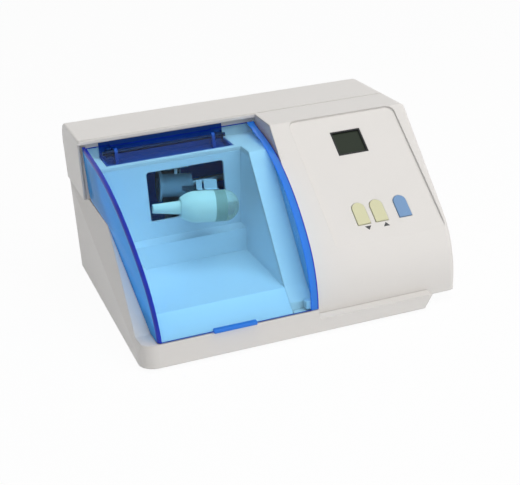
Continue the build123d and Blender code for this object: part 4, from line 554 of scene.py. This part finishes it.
class AMALGAMATOR_OT_lid(bpy.types.Operator):
    """Build the clear blue lid with its deep blue edges"""
    bl_idname = "amalgamator.lid"
    bl_label = "Lid"

    def execute(self, context):
        clear, wall, edge = polycarbonate_lid(), polycarbonate_wall(), polycarbonate_edge()
        looks = {ROOF: clear, STRIP: wall, SEAM: edge, SIDE: polycarbonate_side(),
                 CHEEK: polycarbonate_cheek()}
        # each face's cut edge takes the look as many places further on: the deep blue one
        every = list(looks.values()) + [edge] * len(looks)
        lid = show("lid_shell", lid_skin(), every, "lid", node="lid")
        apply_modifier(lid, "SOLIDIFY", thickness=settings().lid_thickness, offset=-1.0,
                       use_even_offset=True, material_offset_rim=len(looks))
        lid.data.set_sharp_from_angle(angle=SHARP)
        tab = block_mesh(bmesh.new(), TAB_X, TAB_Y, TAB_Z, TAB_EDGE)
        show("lid_tab", tab, [wall], "lid")
        for side, left in TONGUE_LEFTS.items():
            right = left + TONGUE_WIDTH
            tongue = ring_mesh(bmesh.new(), left, right, HINGE, TONGUE_RADIUS, PIN_BORE)
            show("lid_tongue_" + side, tongue, [clear], "lid")
        finish_of("lid_magnet", abs_liner())
        return {"FINISHED"}


class AMALGAMATOR_OT_panel(bpy.types.Operator):
    """Finish the display, the three keys and the boards behind them"""
    bl_idname = "amalgamator.panel"
    bl_label = "Panel"

    def execute(self, context):
        black = abs_black()
        for node in ("display_frame", "display_module", "tact_switches", "board_parts"):
            finish_of(node, black)
        # acrylic, moulded and smoked green: nearly black, with a soft mirror image
        lens, _, _ = new_surface("acrylic_smoked", "262E23", 0.3, IOR=1.49, Specular_IOR_Level=0.25)
        finish_of("display_window", lens)
        cream = key_cap("silicone_cream_moulded", settings().key_colour)
        for node in ("key_down", "key_up"):
            finish_of(node, cream)
        blue = key_cap("silicone_blue_moulded", settings().start_key_colour)
        finish_of("key_start", blue)
        # ink, pad-printed on the panel: dark grey, dull
        ink, _, _ = new_surface("ink_printed", "4A4A4C", 0.6)
        marks = bmesh.new()
        for x, up, way in KEY_MARKS:
            wide, tall = MARK_WIDE * way, MARK_TALL * way
            corners = ((x - wide, up - tall), (x + wide, up - tall), (x, up + tall))
            prism_mesh(marks, [on_panel(*corner, 0.0) for corner in corners],
                       [on_panel(*corner, INK_THICK) for corner in corners])
        show("key_marks", marks, [ink], "base")
        # glass epoxy with solder mask: green, glossy
        board = moulded("glass_epoxy_green", "1E5A34", "1A5230",
                        grain=1.2, depth=0.02, roughness=0.35, edge=0.2)
        for node in ("control_board", "power_board"):
            finish_of(node, board)
        # woven flat cable: off-white PVC
        woven = moulded("pvc_ribbon", "D8D8D4", "C8C8C4",
                        grain=1.27, depth=0.05, roughness=0.5, edge=0.1)
        finish_of("ribbon", woven)
        return {"FINISHED"}


class AMALGAMATOR_OT_shaker(bpy.types.Operator):
    """Finish the hub, the arm, the clip and the capsule"""
    bl_idname = "amalgamator.shaker"
    bl_label = "Shaker"

    def execute(self, context):
        # aluminium, turned: cool grey with rings round its axis
        turned = metal("aluminium_turned", "8E98A2",
                       roughness=0.42, squeeze=(6.0, 1.0, 1.0), length=1.2, depth=0.01)
        for node in ("shaker_arm", "end_shields"):
            finish_of(node, turned)
        # aluminium, die-cast and painted: grey-blue, dull
        painted = moulded("aluminium_painted", "93A5B0", "8B9DA8",
                          grain=0.8, depth=0.01, roughness=0.5, edge=0.5)
        finish_of("wobble_hub", painted)
        # spring steel, rolled and polished: bright, with faint lines along the sheet
        bright = metal("spring_steel_polished", "D8DADC",
                       roughness=0.14, squeeze=(1.0, 6.0, 6.0), length=0.8, depth=0.004)
        for node in ("capsule_clip", "restraint_leaf"):
            finish_of(node, bright)
        # polypropylene, moulded: milky, a little green
        milky = moulded("polypropylene_natural", "E4E8D6", "DCE2CE",
                        grain=0.6, depth=0.006, roughness=0.35, edge=0.3)
        finish_of("capsule_body", milky)
        # the same plastic, coloured grey-green
        tinted = moulded("polypropylene_grey_green", "98A592", "8F9C89",
                         grain=0.6, depth=0.006, roughness=0.35, edge=0.3)
        finish_of("capsule_ring", tinted)
        # polystyrene, moulded: cloudy, lets most light through
        cloudy = clear_plastic("polystyrene_milky", "E6EEDC", "EEF6F2", roughness=0.1, wave=5.0,
                               clear=0.75)
        finish_of("capsule_dome", cloudy)
        # acetal, turned: white, waxy
        acetal = moulded("acetal_white", "F4F6F8", "EEF0F2",
                         grain=0.6, depth=0.006, roughness=0.35, edge=0.2)
        finish_of("stud", acetal)
        # bronze, turned and oiled
        bronze = metal("bronze_turned", "A8783C",
                       roughness=0.3, squeeze=(6.0, 1.0, 1.0), length=0.8, depth=0.005)
        finish_of("journal_race", bronze)
        return {"FINISHED"}


class AMALGAMATOR_OT_drive(bpy.types.Operator):
    """Finish the motor, its cradle, the fan and all fasteners"""
    bl_idname = "amalgamator.drive"
    bl_label = "Drive"

    def execute(self, context):
        # steel, zinc plated: bright grey, drawn lines
        zinc = metal("steel_zinc_plated", "B4B7BA",
                     roughness=0.3, squeeze=(5.0, 1.0, 1.0), length=0.9, depth=0.006)
        for node in ("foot_screws", "housing_screws", "board_screws", "bearings", "cradle_screws",
                     "drive_shaft", "wobble_journal"):
            finish_of(node, zinc)
        # steel, ground and blued: nearly black
        blued = metal("steel_blued", "1E2C48",
                      roughness=0.3, squeeze=(1.0, 6.0, 6.0), length=0.6, depth=0.004)
        finish_of("hinge_pin", blued)
        # sheet steel, folded and enamelled dark blue: smooth, half gloss
        enamel = moulded("steel_enamelled_navy", "0C4294", "104A9C",
                         grain=2.0, depth=0.01, roughness=0.35, edge=0.4)
        finish_of("hinge_brackets", enamel)
        # a thin navy sheet on the riser behind the hinge tray, which darkens that band
        riser_sheet = block_mesh(bmesh.new(), TRAY_X, TRAY_Y, TRAY_Z)
        show("hinge_riser_navy_sheet", riser_sheet, [enamel], "base")
        # painted shade sheet in the rear wall: blue towards the window's unlit inside, black
        # towards the vents
        shade_blue_coat = moulded("painted_shade_sheet_blue", "3C86FF", "448CFF",
                            grain=3.0, depth=0.01, roughness=0.4, edge=0.2)
        sheet = block_mesh(bmesh.new(), SHADE_SHEET_X, SHADE_SHEET_Y, SHADE_SHEET_Z, index=1)
        min(sheet.faces, key=lambda face: face.calc_center_median().y).material_index = 0
        show("rear_painted_shade_sheet", sheet, [shade_blue_coat, abs_black()], "base")
        # sheet steel, folded and enamelled a lighter blue on the motor and its cradle
        # painted shade: the steel and its enamel are real, but their blue makes the unlit inside
        # read navy through the window
        blue = moulded("steel_enamel_painted_shade_blue", "3C7CCC", "4484D4",
                       grain=2.0, depth=0.01, roughness=0.35, edge=0.4)
        for node in ("cradle", "motor_can"):
            finish_of(node, blue)
        # electrical steel, stamped and stacked in thin sheets: dark, with fine layers
        stack = metal("steel_laminated", "5C5E62",
                      roughness=0.5, squeeze=(1.0, 8.0, 1.0), length=0.5, depth=0.03)
        for node in ("armature", "transformer_core"):
            finish_of(node, stack)
        finish_of("fan", abs_black())
        # copper, drawn and enamelled: warm brown, glossy turns
        copper = metal("copper_enamelled", "A65A2C",
                       roughness=0.3, squeeze=(1.0, 1.0, 8.0), length=0.6, depth=0.05)
        finish_of("transformer_coil", copper)
        # soda glass, drawn: clear
        glass = clear_plastic("soda_glass_drawn", "EAF2F0", "F0F6F4", roughness=0.02, wave=8.0)
        for node in ("reed_switch", "fuse"):
            finish_of(node, glass)
        return {"FINISHED"}


class AMALGAMATOR_OT_rear(bpy.types.Operator):
    """Finish the mains inlet, its fuse drawer and the rocker switch"""
    bl_idname = "amalgamator.rear"
    bl_label = "Rear inlet"

    def execute(self, context):
        black = abs_black()
        for node in ("inlet_shell", "fuse_drawer", "rocker_frame", "rocker"):
            finish_of(node, black)
        # brass, stamped and nickel plated
        plated = metal("brass_nickel_plated", "C8BFA4",
                       roughness=0.22, squeeze=(1.0, 5.0, 1.0), length=0.6, depth=0.004)
        finish_of("inlet_pins", plated)
        return {"FINISHED"}


class AMALGAMATOR_OT_stage(bpy.types.Operator):
    """Build the plain floor, the soft lamps, the world and the camera"""
    bl_idname = "amalgamator.stage"
    bl_label = "Stage"

    def execute(self, context):
        build_floor()
        build_lamps()
        build_world()
        build_camera()
        return {"FINISHED"}


# ---------------------------------------------------------------- stage
FLOOR_HALF = 3.0  # half the floor's side, in metres
FLOOR_WHITE = 0.95  # share of plain white that the eye sees on the floor; the rest takes the shadow
ROOM_LIGHT = 0.25  # strength of the even light that falls on the object from all round
# each lamp's place, aim and side in metres, and its share of the lamp power
LAMPS = (
    ("soft_box_top", (0.3, -0.7, 2.4), (0, 0, 0.05), 2.0, 1.0),
    ("soft_box_right", (1.5, -1.6, 1.1), (0.05, 0, 0.05), 1.4, 0.33),
    ("soft_box_front", (0.2, -2.4, 0.9), (0, 0, 0.05), 1.4, 0.25),
    ("soft_box_left", (-2.0, -1.2, 1.2), (0, 0, 0.05), 1.4, 0.01),
)
FOCAL = 1083 / 520  # the lens's focal length as a multiple of the picture's width
SENSOR = 36.0  # width of the camera's sensor, in mm
EYE = (-119.85, -616.0, 327.9)  # the camera's place, in mm from the tray's corner
EYE_TILT, EYE_ROLL, EYE_PAN = 68.4831, 4.0295, -19.7732  # and how it is turned, in degrees


def seen_straight(tree):
    """1 for rays that show a surface to the camera, straight, mirrored or through clear parts."""
    ray = add_node(tree, "ShaderNodeLightPath")
    straight = add_node(tree, "ShaderNodeMath", {
        0: ray.outputs["Is Camera Ray"], 1: ray.outputs["Is Transmission Ray"]},
        operation="MAXIMUM")
    seen = add_node(tree, "ShaderNodeMath", {
        0: straight.outputs[0], 1: ray.outputs["Is Glossy Ray"]}, operation="MAXIMUM")
    return seen.outputs[0]


def build_floor():
    """A plain pale floor that shows nothing but the object's soft shadow."""
    mesh = bmesh.new()
    sides = ((-1, -1), (1, -1), (1, 1), (-1, 1))
    mesh.faces.new([mesh.verts.new(Vector((x * FLOOR_HALF, y * FLOOR_HALF, 0))) for x, y in sides])
    data = bpy.data.meshes.new("floor")
    mesh.to_mesh(data)
    mesh.free()
    floor = bpy.data.objects.new("floor", data)
    bpy.context.scene.collection.objects.link(floor)
    # paper sweep: matt white, so that only the soft shadow of the object shows on it
    material, tree, shader = new_surface("paper_white", settings().floor_colour, 0.9,
                                         Specular_IOR_Level=0.1)
    white = add_node(tree, "ShaderNodeEmission", {"Color": linear("FFFFFF"), "Strength": 1.0})
    part = add_node(tree, "ShaderNodeMath", {
        0: seen_straight(tree), 1: FLOOR_WHITE}, operation="MULTIPLY")
    mix = add_node(tree, "ShaderNodeMixShader", {
        0: part.outputs[0], 1: shader.outputs["BSDF"], 2: white.outputs["Emission"]})
    tree.links.new(mix.outputs["Shader"], tree.nodes["Material Output"].inputs["Surface"])
    data.materials.append(material)


def lamp(name, place, aim, size, power):
    """A square soft box that metal and glass do not mirror."""
    light = bpy.data.lights.new(name, "AREA")
    light.shape = "SQUARE"
    light.size = size
    light.energy = power
    holder = bpy.data.objects.new(name, light)
    bpy.context.scene.collection.objects.link(holder)
    holder.location = Vector(place)
    holder.visible_glossy = False
    holder.rotation_euler = (Vector(aim) - Vector(place)).to_track_quat("-Z", "Y").to_euler()


def build_lamps():
    """Four soft boxes, the largest above."""
    for name, place, aim, size, share in LAMPS:
        lamp(name, place, aim, size, settings().lamp_power * share)


def build_world():
    """Even light from all round; the eye sees plain white where nothing stands in its way."""
    world = bpy.data.worlds.new("studio")
    bpy.context.scene.world = world
    world.use_nodes = True
    tree = world.node_tree
    tree.nodes.clear()
    plain = linear("FFFFFF")
    soft = add_node(tree, "ShaderNodeBackground", {"Color": plain, "Strength": ROOM_LIGHT})
    white = add_node(tree, "ShaderNodeBackground", {"Color": plain, "Strength": 1.0})
    mix = add_node(tree, "ShaderNodeMixShader", {
        0: seen_straight(tree), 1: soft.outputs[0], 2: white.outputs[0]})
    add_node(tree, "ShaderNodeOutputWorld", {"Surface": mix.outputs[0]})


def build_camera():
    """The camera, looking down at the front left corner."""
    lens = bpy.data.cameras.new("camera")
    lens.sensor_width = SENSOR
    lens.lens = SENSOR * FOCAL
    camera = bpy.data.objects.new("camera", lens)
    bpy.context.scene.collection.objects.link(camera)
    turn = Euler([math.radians(angle) for angle in (EYE_TILT, EYE_ROLL, EYE_PAN)])
    camera.matrix_world = Matrix.Translation(at(*EYE)) @ turn.to_matrix().to_4x4()
    bpy.context.scene.camera = camera
    bpy.context.scene.view_settings.view_transform = "Standard"


# ---------------------------------------------------------------- panel in the sidebar
STEPS = ("housing", "lid", "panel", "shaker", "drive", "rear", "stage")


class AMALGAMATOR_PT_sidebar(bpy.types.Panel):
    """Lists the colours, the sizes and the steps"""
    bl_label = "Amalgamator"
    bl_idname = "AMALGAMATOR_PT_sidebar"
    bl_space_type = "VIEW_3D"
    bl_region_type = "UI"
    bl_category = "Amalgamator"

    def draw(self, context):
        column = self.layout.column()
        for name in AmalgamatorSettings.__annotations__:
            column.prop(settings(), name)
        for step in STEPS:
            column.operator("amalgamator." + step)


CLASSES = (
    AmalgamatorSettings, AMALGAMATOR_OT_housing, AMALGAMATOR_OT_lid, AMALGAMATOR_OT_panel,
    AMALGAMATOR_OT_shaker, AMALGAMATOR_OT_drive, AMALGAMATOR_OT_rear, AMALGAMATOR_OT_stage,
    AMALGAMATOR_PT_sidebar,
)


def register():
    for each in CLASSES:
        bpy.utils.register_class(each)
    bpy.types.Scene.amalgamator = bpy.props.PointerProperty(type=AmalgamatorSettings)


def unregister():
    del bpy.types.Scene.amalgamator
    for each in reversed(CLASSES):
        bpy.utils.unregister_class(each)


def main():
    register()
    for step in STEPS:
        getattr(bpy.ops.amalgamator, step)()


if __name__ == "__main__":
    main()
